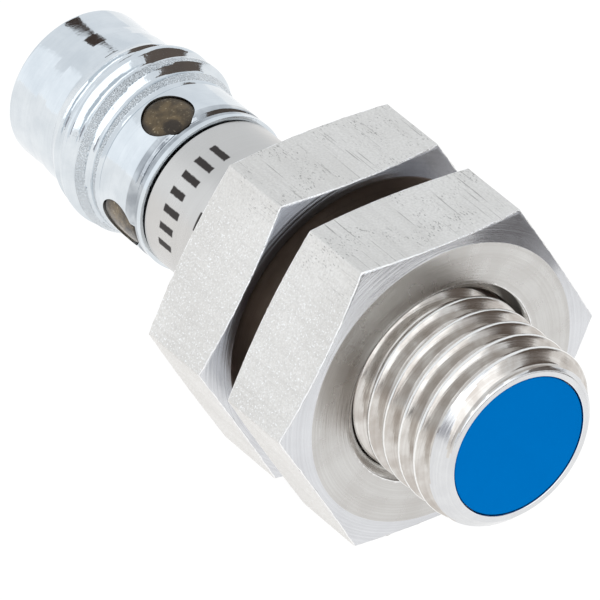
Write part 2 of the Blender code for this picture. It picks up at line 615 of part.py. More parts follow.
def make_connector_shell(plating):
    """Turned shell with its spigot, seal groove, vee groove, windows, plug thread and open socket."""
    seal_front_x = SPIGOT_FRONT_X - (SPIGOT_LENGTH - SEAL_GROOVE_WIDTH) / 2
    seal_floor = SPIGOT_RADIUS - SEAL_GROOVE_DEPTH
    outline = [
        (SPIGOT_FRONT_X, SPIGOT_RADIUS),
        (seal_front_x, SPIGOT_RADIUS),
        (seal_front_x, seal_floor),
        (seal_front_x - SEAL_GROOVE_WIDTH, seal_floor),
        (seal_front_x - SEAL_GROOVE_WIDTH, SPIGOT_RADIUS),
        (LIP_FRONT_X, SPIGOT_RADIUS),
        (LIP_FRONT_X, SHELL_RADIUS - LIP_CHAMFER),
        (LIP_FRONT_X - LIP_CHAMFER, SHELL_RADIUS),
        (VEE_FRONT_X, SHELL_RADIUS),
        (VEE_FRONT_X - VEE_WIDTH / 2, SHELL_RADIUS - VEE_DEPTH),
        (WINDOW_BAND_X, SHELL_RADIUS),
        (UNDERCUT_X, SHELL_RADIUS),
        (UNDERCUT_X - UNDERCUT_WIDTH / 2, SHELL_RADIUS - UNDERCUT_DEPTH),
        (PLUG_THREAD_X, SHELL_RADIUS),
        (PLUG_LAND_X, PLUG_THREAD_RADIUS),
        (PLUG_LAND_REAR_X, PLUG_THREAD_RADIUS),
        (COLLAR_X, SHELL_RADIUS),
        (COLLAR_REAR_X, SHELL_RADIUS),
        (BARREL_X, BARREL_RADIUS),
        *rounded_rim(REAR_RIM_X, BARREL_RADIUS, REAR_RIM_ROUNDING),
        (REAR_RIM_X, SOCKET_RADIUS + SOCKET_MOUTH_CHAMFER),
        (REAR_RIM_X + SOCKET_MOUTH_CHAMFER, SOCKET_RADIUS),
        (SHELL_SHOULDER_X, SOCKET_RADIUS),
        (SHELL_SHOULDER_X, SPIGOT_BORE),
        (SPIGOT_FRONT_X, SPIGOT_BORE),
    ]
    shell = turned("connector_shell", outline, plating, steps=THREADED_STEPS)
    cutter = thread_cutter("plug_thread_cutter", PLUG_THREAD_RADIUS, PLUG_ROOT_RADIUS,
                           PLUG_THREAD_PHASE, PLUG_THREAD_X + THREAD_PITCH, COLLAR_X - THREAD_PITCH)
    boolean(shell, "DIFFERENCE", cutter)
    for number in range(WINDOW_COUNT):
        angle = WINDOW_FIRST_ANGLE + math.tau * number / WINDOW_COUNT
        hole = round_cutter(f"window_cutter_{number + 1}", WINDOW_RADIUS,
                            ring_place(WINDOW_X, SOCKET_RADIUS - CUT_REACH, angle),
                            ring_place(WINDOW_X, PLUG_THREAD_RADIUS, angle), FINE_STEPS)
        boolean(shell, "DIFFERENCE", hole)
    return seal_front_x - SEAL_GROOVE_WIDTH / 2, seal_floor


def make_seal(groove_x, groove_floor, rubber):
    """Thin round sealing ring in the spigot's groove."""
    ring_radius = groove_floor + SEAL_WIRE_RADIUS + SLIDE_CLEARANCE / 2
    section = []
    for step in range(SEAL_SECTION_STEPS):
        angle = math.tau * step / SEAL_SECTION_STEPS
        section.append((groove_x - SEAL_WIRE_RADIUS * math.sin(angle),
                        ring_radius + SEAL_WIRE_RADIUS * math.cos(angle)))
    turned("connector_seal", section, rubber, steps=FINE_STEPS)


def make_light_ring(lens):
    """Clear brown ring whose four round bosses fill the windows of the shell."""
    ring = turned("light_ring", (
        (LIGHT_RING_FRONT_X, LIGHT_RING_RADIUS),
        (LIGHT_RING_REAR_X, LIGHT_RING_RADIUS),
        (LIGHT_RING_REAR_X, LIGHT_RING_BORE),
        (LIGHT_RING_FRONT_X, LIGHT_RING_BORE),
    ), lens)
    for number in range(WINDOW_COUNT):
        angle = WINDOW_FIRST_ANGLE + math.tau * number / WINDOW_COUNT
        boss = round_cutter(f"boss_form_{number + 1}", WINDOW_RADIUS - SLIDE_CLEARANCE,
                            ring_place(WINDOW_X, (LIGHT_RING_RADIUS + LIGHT_RING_BORE) / 2, angle),
                            ring_place(WINDOW_X, SHELL_RADIUS, angle), FINE_STEPS)
        boolean(ring, "UNION", boss)
    boss_radius = SHELL_RADIUS - WINDOW_RECESS
    trim = turned("boss_trim_form", (
        (LIGHT_RING_FRONT_X + CUT_REACH, 0.0),
        (LIGHT_RING_FRONT_X + CUT_REACH, boss_radius),
        (LIGHT_RING_REAR_X - CUT_REACH, boss_radius),
        (LIGHT_RING_REAR_X - CUT_REACH, 0.0),
    ), closed=False)
    boolean(ring, "INTERSECT", trim)


def make_contacts(nylon, gold, tinned):
    """Insulating carrier on the axis, its three pins and the short wires from them to the board."""
    carrier = turned("contact_carrier", (
        (CARRIER_FRONT_X, 0.0),
        (CARRIER_FRONT_X, CARRIER_NECK_RADIUS),
        (CARRIER_SHOULDER_X, CARRIER_NECK_RADIUS),
        (CARRIER_SHOULDER_X, CARRIER_RADIUS),
        (SOCKET_FLOOR_X, CARRIER_RADIUS),
        (SOCKET_FLOOR_X, 0.0),
    ), nylon, closed=False)
    for number, angle in PIN_NUMBERS_AND_ANGLES:
        centre = ring_place(0.0, PIN_CIRCLE_RADIUS, angle)
        hole = round_cutter(f"pin_hole_cutter_{number}", PIN_RADIUS + SLIDE_CLEARANCE,
                            centre + Vector((CARRIER_FRONT_X + CUT_REACH, 0, 0)),
                            centre + Vector((SOCKET_FLOOR_X - CUT_REACH, 0, 0)), FINE_STEPS)
        boolean(carrier, "DIFFERENCE", hole)
        pin = turned(f"contact_pin_{number}", (
            (PIN_TAIL_END_X, 0.0),
            (PIN_TAIL_END_X, PIN_TAIL_RADIUS),
            (PIN_STEP_X, PIN_TAIL_RADIUS),
            (PIN_STEP_X, PIN_RADIUS),
            (PIN_TIP_X + PIN_TIP_LENGTH, PIN_RADIUS),
            (PIN_TIP_X, PIN_TIP_RADIUS),
            (PIN_TIP_X, 0.0),
        ), gold, closed=False, steps=SMALL_STEPS)
        pin.location = centre
        side = 1 if centre.z > 0 else -1
        landing_z = side * (BOARD_THICKNESS / 2 + SOLDER_GAP + LINK_WIRE_RADIUS)
        start = centre + Vector((PIN_TAIL_END_X + SEAT_GAP, 0, 0))
        end = Vector((start.x + LINK_WIRE_REACH, centre.y, landing_z))
        middle = Vector((start.x + LINK_WIRE_REACH / 2, centre.y, centre.z))
        before_end = Vector((end.x - LINK_WIRE_LANDING, centre.y, landing_z))
        wire(f"link_wire_{number}", bent((start, middle, before_end, end)), LINK_WIRE_RADIUS, tinned)


def shade(obj):
    """Keep an object's final shape and shade its round sides smooth."""
    graph = bpy.context.evaluated_depsgraph_get()
    mesh = bpy.data.meshes.new_from_object(obj.evaluated_get(graph))
    mesh.name = obj.name
    mesh.shade_smooth()
    mesh.set_sharp_from_angle(angle=math.radians(30))
    obj.modifiers.clear()
    obj.data = mesh


clear_scene()
PARTS = new_collection("proximity_sensor")
CUTTERS = new_collection("cutters")

STEEL = new_material("stainless_steel", (0.62, 0.60, 0.57), 0.32, metallic=1.0)
NUT_STEEL = new_material("nut_steel", (0.66, 0.65, 0.63), 0.38, metallic=1.0)
PLATING = new_material("bright_plating", (0.80, 0.83, 0.86), 0.12, metallic=1.0)
BLUE_PLASTIC = new_material("blue_plastic", (0.0, 0.16, 0.51), 0.55)
DARK_NYLON = new_material("dark_nylon", (0.03, 0.03, 0.035), 0.5)
BROWN_LENS = new_material("brown_lens", (0.16, 0.11, 0.07), 0.15, transmission=0.5)
FERRITE = new_material("ferrite", (0.05, 0.05, 0.055), 0.6)
COPPER_WIRE = new_material("enamelled_copper", (0.55, 0.22, 0.09), 0.3, metallic=1.0)
BRASS = new_material("shield_brass", (0.62, 0.48, 0.20), 0.3, metallic=1.0)
LAMINATE = new_material("board_laminate", (0.02, 0.14, 0.05), 0.45)
EPOXY = new_material("chip_epoxy", (0.02, 0.02, 0.022), 0.5)
CERAMIC = new_material("capacitor_ceramic", (0.45, 0.33, 0.20), 0.4)
RESISTOR_FILM = new_material("resistor_film", (0.03, 0.035, 0.05), 0.35)
LED_RESIN = new_material("led_resin", (0.75, 0.55, 0.20), 0.2, transmission=0.4)
TUBE_FILM = new_material("insulating_film", (0.70, 0.62, 0.40), 0.4)
RESIN = new_material("casting_resin", (0.04, 0.04, 0.05), 0.4)
RUBBER = new_material("seal_rubber", (0.02, 0.02, 0.02), 0.7)
GOLD = new_material("gold_plating", (0.85, 0.62, 0.25), 0.2, metallic=1.0)
TINNED_WIRE = new_material("tinned_wire", (0.70, 0.70, 0.72), 0.3, metallic=1.0)

make_sleeve(STEEL)
make_cap(BLUE_PLASTIC)
make_nut("front_nut", FRONT_NUT_X, NUT_STEEL)
make_nut("rear_nut", REAR_NUT_X, NUT_STEEL)
make_coil(FERRITE, COPPER_WIRE, DARK_NYLON, BRASS)
make_board(LAMINATE, EPOXY, CERAMIC, RESISTOR_FILM, LED_RESIN)
make_tube_and_resin(TUBE_FILM, RESIN)
SEAL_X, SEAL_FLOOR = make_connector_shell(PLATING)
make_seal(SEAL_X, SEAL_FLOOR, RUBBER)
make_light_ring(BROWN_LENS)
make_contacts(DARK_NYLON, GOLD, TINNED_WIRE)

bpy.context.view_layer.update()
for part in list(PARTS.objects):
    if part.type == "MESH":
        shade(part)
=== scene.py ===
"""Looks of a short threaded proximity sensor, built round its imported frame.

The sensor lies along X with its blue sensing face at the origin, facing +X, and +Z up.  Each sub-assembly is
a class that makes its meshes in the frame's own coordinates and dresses them in procedural finishes.
"""

import json
import logging
import math
from dataclasses import dataclass
from enum import Enum, IntEnum
from typing import ClassVar

import bmesh
import bpy
import numpy as np
from mathutils import Matrix, Vector


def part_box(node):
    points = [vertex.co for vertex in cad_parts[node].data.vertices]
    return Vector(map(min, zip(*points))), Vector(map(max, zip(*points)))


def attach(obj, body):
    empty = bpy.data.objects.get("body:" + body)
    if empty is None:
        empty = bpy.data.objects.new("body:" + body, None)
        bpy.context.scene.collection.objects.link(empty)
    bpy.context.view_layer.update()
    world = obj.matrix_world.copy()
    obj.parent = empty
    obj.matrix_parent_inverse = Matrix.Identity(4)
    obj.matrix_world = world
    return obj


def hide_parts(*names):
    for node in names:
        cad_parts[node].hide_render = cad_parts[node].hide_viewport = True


MM = 0.001
PITCH = 1.0 * MM
LOG = logging.getLogger("proximity_sensor")

Outline = list[tuple[float, float, float]]
Profile = list[tuple[float, float]]
Colour = tuple[float, float, float]
Socket = bpy.types.NodeSocket
Sockets = dict[str, bpy.types.NodeSocket]

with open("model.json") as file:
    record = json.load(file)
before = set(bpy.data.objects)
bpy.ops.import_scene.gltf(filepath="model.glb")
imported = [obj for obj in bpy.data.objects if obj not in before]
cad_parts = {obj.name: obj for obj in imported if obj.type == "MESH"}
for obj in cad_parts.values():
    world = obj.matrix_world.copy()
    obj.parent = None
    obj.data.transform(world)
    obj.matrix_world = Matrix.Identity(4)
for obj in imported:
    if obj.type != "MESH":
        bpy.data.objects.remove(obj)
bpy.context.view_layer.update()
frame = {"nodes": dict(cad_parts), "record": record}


class Body(Enum):
    """The bodies that pieces ride on."""

    SENSOR = "sensor"
    FRONT_NUT = "front_nut"
    REAR_NUT = "rear_nut"


class Lathe(Enum):
    """Which way the tool's fine rings follow each other: along a turned side, or across a turned face."""

    ALONG = 0.0
    ACROSS = 1.0


class SleeveSkin(IntEnum):
    """Finish numbers of the sleeve's faces."""

    BODY = 0
    THREAD = 1
    RIM = 2


class NutSkin(IntEnum):
    """Finish numbers of a nut's faces."""

    FLAT = 0
    FACE = 1
    CORNER = 2
    BORE = 3
    GAP_SHADE_FACE = 4


# ---------------------------------------------------------------------------------------------------------
# Shader helpers and the effects that several finishes share
# ---------------------------------------------------------------------------------------------------------


@dataclass(frozen=True)
class Place:
    """Sockets that say where a surface point is: millimetres, radians round the axis, and unit direction."""

    point: Socket
    along: Socket
    radius: Socket
    turn: Socket
    way: Socket


class Nodes:
    """Short calls for wiring one node tree."""

    def __init__(self, tree: bpy.types.NodeTree) -> None:
        """Wrap a material's, world's or group's node tree."""
        self.tree = tree

    def put(self, socket: Socket, value: object) -> None:
        """Link a socket into an input, or set the input to a plain value.

        Args:
            socket: the input.
            value: the socket to link, or the plain value.
        """
        if isinstance(value, Socket):
            self.tree.links.new(value, socket)
        else:
            socket.default_value = value

    def add(self, kind: str, settings: dict[str, object] | None = None, **inputs: object) -> bpy.types.Node:
        """Make a node.

        Args:
            kind: the node's class name after "ShaderNode".
            settings: its properties by name.
            inputs: its input sockets by name, with _ for a space.

        Returns:
            The new node.
        """
        node = self.tree.nodes.new("ShaderNode" + kind)
        for name, value in (settings or {}).items():
            setattr(node, name, value)
        for name, value in inputs.items():
            self.put(node.inputs[name.replace("_", " ")], value)
        return node

    def math(self, operation: str, first: object, second: object = 0.0) -> Socket:
        """Do one math step.

        Args:
            operation: the step's name.
            first: a socket or number.
            second: another, where the step takes two.

        Returns:
            The result.
        """
        node = self.add("Math", {"operation": operation})
        for socket, value in zip(node.inputs, (first, second)):
            self.put(socket, value)
        return node.outputs[0]

    def apart(self, value: object, centre: object) -> Socket:
        """How far a value is from a centre."""
        return self.math("ABSOLUTE", self.math("SUBTRACT", value, centre))

    def remap(self, value: object, low: object, high: object, to_low: float = 0.0, to_high: float = 1.0) -> Socket:
        """Stretch a range of a value to another with soft ends.

        Args:
            value: the value.
            low: what becomes to_low.
            high: what becomes to_high.
            to_low: the result at low and past it.
            to_high: the result at high and past it.

        Returns:
            The stretched value.
        """
        node = self.add("MapRange", {"interpolation_type": "SMOOTHSTEP"})
        for socket, item in zip(node.inputs, (value, low, high, to_low, to_high)):
            self.put(socket, item)
        return node.outputs[0]

    def blend(self, share: object, first: object, second: object) -> Socket:
        """Mix two colours.

        Args:
            share: how much of the second, from 0 to 1.
            first: a socket or plain colour.
            second: another.

        Returns:
            The mixed colour.
        """
        node = self.add("Mix", {"data_type": "RGBA"})
        for socket, value in zip((node.inputs[0], node.inputs[6], node.inputs[7]), (share, first, second)):
            self.put(socket, (*value, 1.0) if isinstance(value, tuple) else value)
        return node.outputs[2]

    def noise(self, vector: object, scale: object = 1.0, detail: float = 2.0) -> Socket:
        """Soft noise between about 0.2 and 0.8 over a vector in millimetres."""
        return self.add("TexNoise", Vector=vector, Scale=scale, Detail=detail).outputs["Fac"]

    def stretched(self, point: Socket, along: object, across: object) -> Socket:
        """Scale a point so that noise over it makes streaks along X.

        Args:
            point: the point in millimetres.
            along: the streaks' length in millimetres.
            across: their width.

        Returns:
            The scaled point.
        """
        parts = self.add("SeparateXYZ", Vector=point)
        joined = self.add("CombineXYZ")
        for number, size in enumerate((along, across, across)):
            self.put(joined.inputs[number], self.math("DIVIDE", parts.outputs[number], size))
        return joined.outputs[0]

    def place(self) -> Place:
        """Say where the surface is.

        Returns:
            Its point, its place along the axis, and its distance, angle and direction from the axis.
        """
        source = self.add("TexCoord").outputs["Object"]
        point = self.add("VectorMath", {"operation": "SCALE"}, Vector=source, Scale=1 / MM).outputs[0]
        parts = self.add("SeparateXYZ", Vector=point)
        across = self.add("CombineXYZ", Y=parts.outputs[1], Z=parts.outputs[2]).outputs[0]
        radius = self.add("VectorMath", {"operation": "LENGTH"}, Vector=across).outputs["Value"]
        turn = self.math("ARCTAN2", parts.outputs[2], parts.outputs[1])
        way = self.add("VectorMath", {"operation": "NORMALIZE"}, Vector=across).outputs[0]
        return Place(point, parts.outputs[0], radius, turn, way)


class Effect:
    """A shader node group that several finishes share, with outputs that change over the surface.

    Each child class gives the group's name, its inputs with their usual values and its outputs, and wires it.
    """

    name: ClassVar[str]
    inputs: ClassVar[dict[str, float]]
    outputs: ClassVar[tuple[str, ...]]
    made: ClassVar[dict[str, bpy.types.NodeTree]] = {}

    @classmethod
    def wire(cls, n: Nodes, given: Sockets) -> tuple[Socket, ...]:
        """Wire the group's nodes from its inputs' sockets and give its outputs' sockets, in each child's own way."""
        raise NotImplementedError

    @classmethod
    def tree(cls) -> bpy.types.NodeTree:
        """Build the group the first time, and give it every time.

        Returns:
            The group's node tree.
        """
        if cls.name not in cls.made:
            group = bpy.data.node_groups.new(cls.name, "ShaderNodeTree")
            for title, value in cls.inputs.items():
                socket = group.interface.new_socket(name=title, in_out="INPUT", socket_type="NodeSocketFloat")
                socket.default_value = value
            for title in cls.outputs:
                group.interface.new_socket(name=title, in_out="OUTPUT", socket_type="NodeSocketFloat")
            source = group.nodes.new("NodeGroupInput")
            result = group.nodes.new("NodeGroupOutput")
            wired = cls.wire(Nodes(group), {title: source.outputs[title] for title in cls.inputs})
            for title, socket in zip(cls.outputs, wired):
                group.links.new(socket, result.inputs[title])
            cls.made[cls.name] = group
        return cls.made[cls.name]

    @classmethod
    def use(cls, n: Nodes, **values: object) -> Sockets:
        """Place the group in a material.

        Args:
            n: the material's nodes.
            values: the inputs that aren't left at their usual values.

        Returns:
            The outputs' sockets by name.
        """
        node = n.add("Group", {"node_tree": cls.tree()}, **values)
        return {title: node.outputs[title] for title in cls.outputs}


class TurningMarks(Effect):
    """Fine rings that a lathe tool leaves, with slow bands between passes."""

    name = "turning_marks"
    inputs = {"Spacing": 0.05, "Facing": 0.0}
    outputs = ("Rings", "Bands")

    @classmethod
    def wire(cls, n: Nodes, given: Sockets) -> tuple[Socket, ...]:
        """Wire the rings, which stay even all round because their noise runs over the unit direction.

        Args:
            n: the group's nodes.
            given: the inputs' sockets by name.

        Returns:
            Rings and bands.
        """
        at = n.place()
        across = n.math("MULTIPLY", n.math("SUBTRACT", at.radius, at.along), given["Facing"])
        line = n.math("ADD", at.along, across)
        step = n.math("DIVIDE", line, given["Spacing"])
        round_it = n.add("VectorMath", {"operation": "SCALE"}, Vector=at.way, Scale=0.5).outputs[0]
        moved = n.add("VectorMath", Vector=round_it)
        n.put(moved.inputs[1], n.add("CombineXYZ", X=step).outputs[0])
        fine = n.noise(moved.outputs[0], 1.0, 3.0)
        bands = n.noise(n.add("CombineXYZ", X=n.math("MULTIPLY", line, 2.1), Y=7.0).outputs[0], 1.0, 1.0)
        return n.remap(fine, 0.3, 0.7), n.remap(bands, 0.3, 0.7)


class PaintedFanShade(Effect):
    """Painted shade: two dark fans on a turned face where its reflection falls dark, strongest near the bore."""

    name = "painted_fan_shade"
    inputs = {"First": 92.0, "Second": 160.0, "Width": 0.09, "Inner": 4.6, "Outer": 6.4}
    outputs = ("Fans",)

    @classmethod
    def wire(cls, n: Nodes, given: Sockets) -> tuple[Socket, ...]:
        """Wire the fans.

        Args:
            n: the group's nodes.
            given: the inputs' sockets by name.

        Returns:
            The fans' mask.
        """
        at = n.place()
        ragged = n.math("MULTIPLY", n.math("SUBTRACT", n.noise(at.way, 2.6, 3.0), 0.5), 0.12)

        def fan(angle: Socket) -> Socket:
            """Mask of the fan round one angle."""
            off = n.math("COSINE", n.math("SUBTRACT", at.turn, n.math("RADIANS", angle)))
            return n.remap(n.math("ADD", off, ragged), n.math("SUBTRACT", 1.0, given["Width"]), 0.995)

        fans = n.math("MAXIMUM", fan(given["First"]), fan(given["Second"]))
        fade = n.remap(at.radius, given["Inner"], given["Outer"], 1.0, 0.0)
        return (n.math("MULTIPLY", fans, fade),)


class DrawnMarks(Effect):
    """Die scratches along a drawn bar, the small pits between them, and its crystalline grain."""

    name = "drawn_marks"
    inputs = {"Length": 5.0, "Width": 0.07, "Grain": 0.16}
    outputs = ("Scratches", "Grain", "Glints", "Bands")

    @classmethod
    def wire(cls, n: Nodes, given: Sockets) -> tuple[Socket, ...]:
        """Wire scratches and pits on the upper flats, and glints on the others.

        Args:
            n: the group's nodes.
            given: the inputs' sockets by name.

        Returns:
            Scratches with pits, grain, glints and bands.
        """
        at = n.place()
        streak = n.noise(n.stretched(at.point, given["Length"], given["Width"]))
        broken = n.noise(n.stretched(at.point, 2.2, 0.9))
        scratch = n.math("MULTIPLY", n.remap(streak, 0.61, 0.70), n.remap(broken, 0.45, 0.58))
        spots = n.noise(n.stretched(at.point, 0.15, 0.06), 1.0, 1.0)
        zones = n.noise(at.point, 0.7)
        pits = n.math("MULTIPLY", n.remap(spots, 0.61, 0.70), n.remap(zones, 0.44, 0.60))
        lean = n.add("VectorMath", {"operation": "DOT_PRODUCT"}, Vector=at.point)
        lean.inputs[1].default_value = (0.0, 0.45, 1.0)
        upper = n.remap(lean.outputs["Value"], 2.0, 5.0, 0.12, 1.0)
        worn = n.math("MULTIPLY", n.math("MAXIMUM", scratch, pits), upper)
        grain = n.noise(at.point, n.math("DIVIDE", 1.0, given["Grain"]), 3.0)
        facets = n.noise(at.point, n.math("DIVIDE", 1.5, given["Grain"]), 1.0)
        # Glints are painted highlights: bright specks, strongest away from the upper flats.
        glints = n.math("MULTIPLY", n.remap(facets, 0.60, 0.69), n.math("SUBTRACT", 1.0, upper))
        bands = n.noise(n.stretched(at.point, 16.0, 0.24))
        return worn, n.remap(grain, 0.25, 0.75), glints, n.remap(bands, 0.42, 0.72)


class Handling(Effect):
    """Slow uneven patches that fingers, oil and washing leave."""

    name = "handling"
    inputs = {"Size": 2.0}
    outputs = ("Patches",)

    @classmethod
    def wire(cls, n: Nodes, given: Sockets) -> tuple[Socket, ...]:
        """Wire the patches."""
        patches = n.noise(n.place().point, n.math("DIVIDE", 1.0, given["Size"]), 3.0)
        return (n.remap(patches, 0.3, 0.7),)


class EdgeWear(Effect):
    """Bright broken line along the edges that the mesh marks as worn."""

    name = "edge_wear"
    inputs = {"Break": 0.2, "Ragged": 0.8}
    outputs = ("Worn",)

    @classmethod
    def wire(cls, n: Nodes, given: Sockets) -> tuple[Socket, ...]:
        """Wire the worn line.

        Args:
            n: the group's nodes.
            given: the inputs' sockets by name.

        Returns:
            The line's mask.
        """
        marked = n.add("Attribute", {"attribute_name": "edge"}).outputs["Fac"]
        broken = n.noise(n.place().point, n.math("DIVIDE", 1.0, given["Break"]), 3.0)
        worn = n.math("ADD", marked, n.math("MULTIPLY", n.math("SUBTRACT", broken, 0.5), given["Ragged"]))
        return (n.math("MULTIPLY", n.remap(worn, 0.35, 0.75), n.remap(marked, 0.02, 0.2)),)


class Speckle(Effect):
    """Torn, pebbled skin of an as-turned cone under bright plating, and the band that it lies in."""

    name = "speckle"
    inputs = {"Size": 0.09, "Rear": -24.5, "Front": -23.45}
    outputs = ("Pebbles", "Band")

    @classmethod
    def wire(cls, n: Nodes, given: Sockets) -> tuple[Socket, ...]:
        """Wire the pebbles and their band.

        Args:
            n: the group's nodes.
            given: the inputs' sockets by name.

        Returns:
            The pebbles, and the mask of the uncut skin between rear and front.
        """
        at = n.place()
        soft_end = 0.06
        pebbles = n.noise(at.point, n.math("DIVIDE", 1.0, given["Size"]))
        band = n.math("MULTIPLY", n.remap(at.along, given["Rear"], n.math("ADD", given["Rear"], soft_end)),
                      n.remap(at.along, given["Front"], n.math("SUBTRACT", given["Front"], soft_end)))
        skin = n.add("Attribute", {"attribute_name": "blank"}).outputs["Fac"]
        return n.remap(pebbles, 0.3, 0.7), n.math("MULTIPLY", band, skin)


class IndexMarks(Effect):
    """One row of plain dark index bars round the sleeve and one dash beside it, with no lettering."""

    name = "index_marks"
    inputs = {"Start": 98.0, "Step": 13.3, "Count": 6.5, "Row": -18.82}
    outputs = ("Marks",)

    @classmethod
    def wire(cls, n: Nodes, given: Sockets) -> tuple[Socket, ...]:
        """Wire the bars, each in a cell of its own, and the dash.

        Args:
            n: the group's nodes.
            given: the inputs' sockets by name.

        Returns:
            The marks' mask.
        """
        at = n.place()
        degrees = n.math("MULTIPLY", n.math("FLOORED_MODULO", n.math("DIVIDE", at.turn, math.tau), 1.0), 360.0)
        cells = n.math("DIVIDE", n.math("SUBTRACT", degrees, given["Start"]), given["Step"])
        cell = n.math("FLOOR", cells)
        waver = n.math("MULTIPLY", n.math("SUBTRACT", n.noise(at.point, 6.0), 0.5), 0.10)
        seed = n.add("TexWhiteNoise", {"noise_dimensions": "1D"}, W=n.math("ADD", cell, 0.37)).outputs["Value"]
        row = n.math("SUBTRACT", at.along, given["Row"])
        middle = n.math("MULTIPLY", n.math("SUBTRACT", seed, 0.5), 0.16)
        half_length = n.math("ADD", 0.40, n.math("MULTIPLY", seed, 0.12))
        side = n.math("ADD", n.apart(n.math("SUBTRACT", cells, cell), 0.5), waver)
        end = n.math("ADD", n.apart(row, middle), waver)
        tips = n.remap(n.math("SUBTRACT", end, half_length), 0.03, -0.03)
        bars = n.math("MULTIPLY", n.remap(side, 0.24, 0.16), tips)
        used = n.math("MULTIPLY", n.math("GREATER_THAN", cell, -0.5), n.math("LESS_THAN", cell, given["Count"]))
        dash = n.math("MULTIPLY", n.remap(n.apart(row, 1.62), 0.16, 0.10), n.remap(n.apart(degrees, 151.0), 7.4, 6.6))
        return (n.math("MAXIMUM", n.math("MULTIPLY", bars, used), dash),)


# ---------------------------------------------------------------------------------------------------------
# Finishes
# ---------------------------------------------------------------------------------------------------------


class Skin:
    """A material in the making, with the colour, roughness and height that it has reached."""

    def __init__(self, name: str, colour: Colour, rough: float) -> None:
        """Start the material.

        Args:
            name: its name.
            colour: its plain colour.
            rough: its plain roughness.
        """
        self.colour: object = colour
        self.rough: object = rough
        self.height: object = 0.0
        self.material = bpy.data.materials.new(name)
        self.material.use_nodes = True
        self.n = Nodes(self.material.node_tree)
        self.shader = self.material.node_tree.nodes["Principled BSDF"]

    def put(self, **values: object) -> None:
        """Give the shader's own inputs values, by name with _ for a space."""
        for name, value in values.items():
            self.n.put(self.shader.inputs[name.replace("_", " ")], value)

    def tint(self, mask: object, amount: object, colour: Colour) -> None:
        """Blend a colour in where a mask is strong."""
        self.colour = self.n.blend(self.n.math("MULTIPLY", mask, amount), self.colour, colour)

    def roughen(self, mask: object, amount: float) -> None:
        """Add roughness where a mask is strong."""
        self.rough = self.n.math("ADD", self.rough, self.n.math("MULTIPLY", mask, amount))

    def lift(self, mask: object, amount: float) -> None:
        """Add height where a mask is strong."""
        self.height = self.n.math("ADD", self.height, self.n.math("MULTIPLY", mask, amount))

    def finish(self, relief: float = 0.01 * MM, strength: float = 1.0) -> bpy.types.Material:
        """Wire what was reached into the shader.

        Args:
            relief: how high a height of 1 stands.
            strength: how much of the bump shows.

        Returns:
            The finished material.
        """
        self.put(Base_Color=self.colour, Roughness=self.rough)
        if isinstance(self.height, Socket):
            self.put(Normal=self.n.add("Bump", Height=self.height, Distance=relief, Strength=strength).outputs[0])
        return self.material


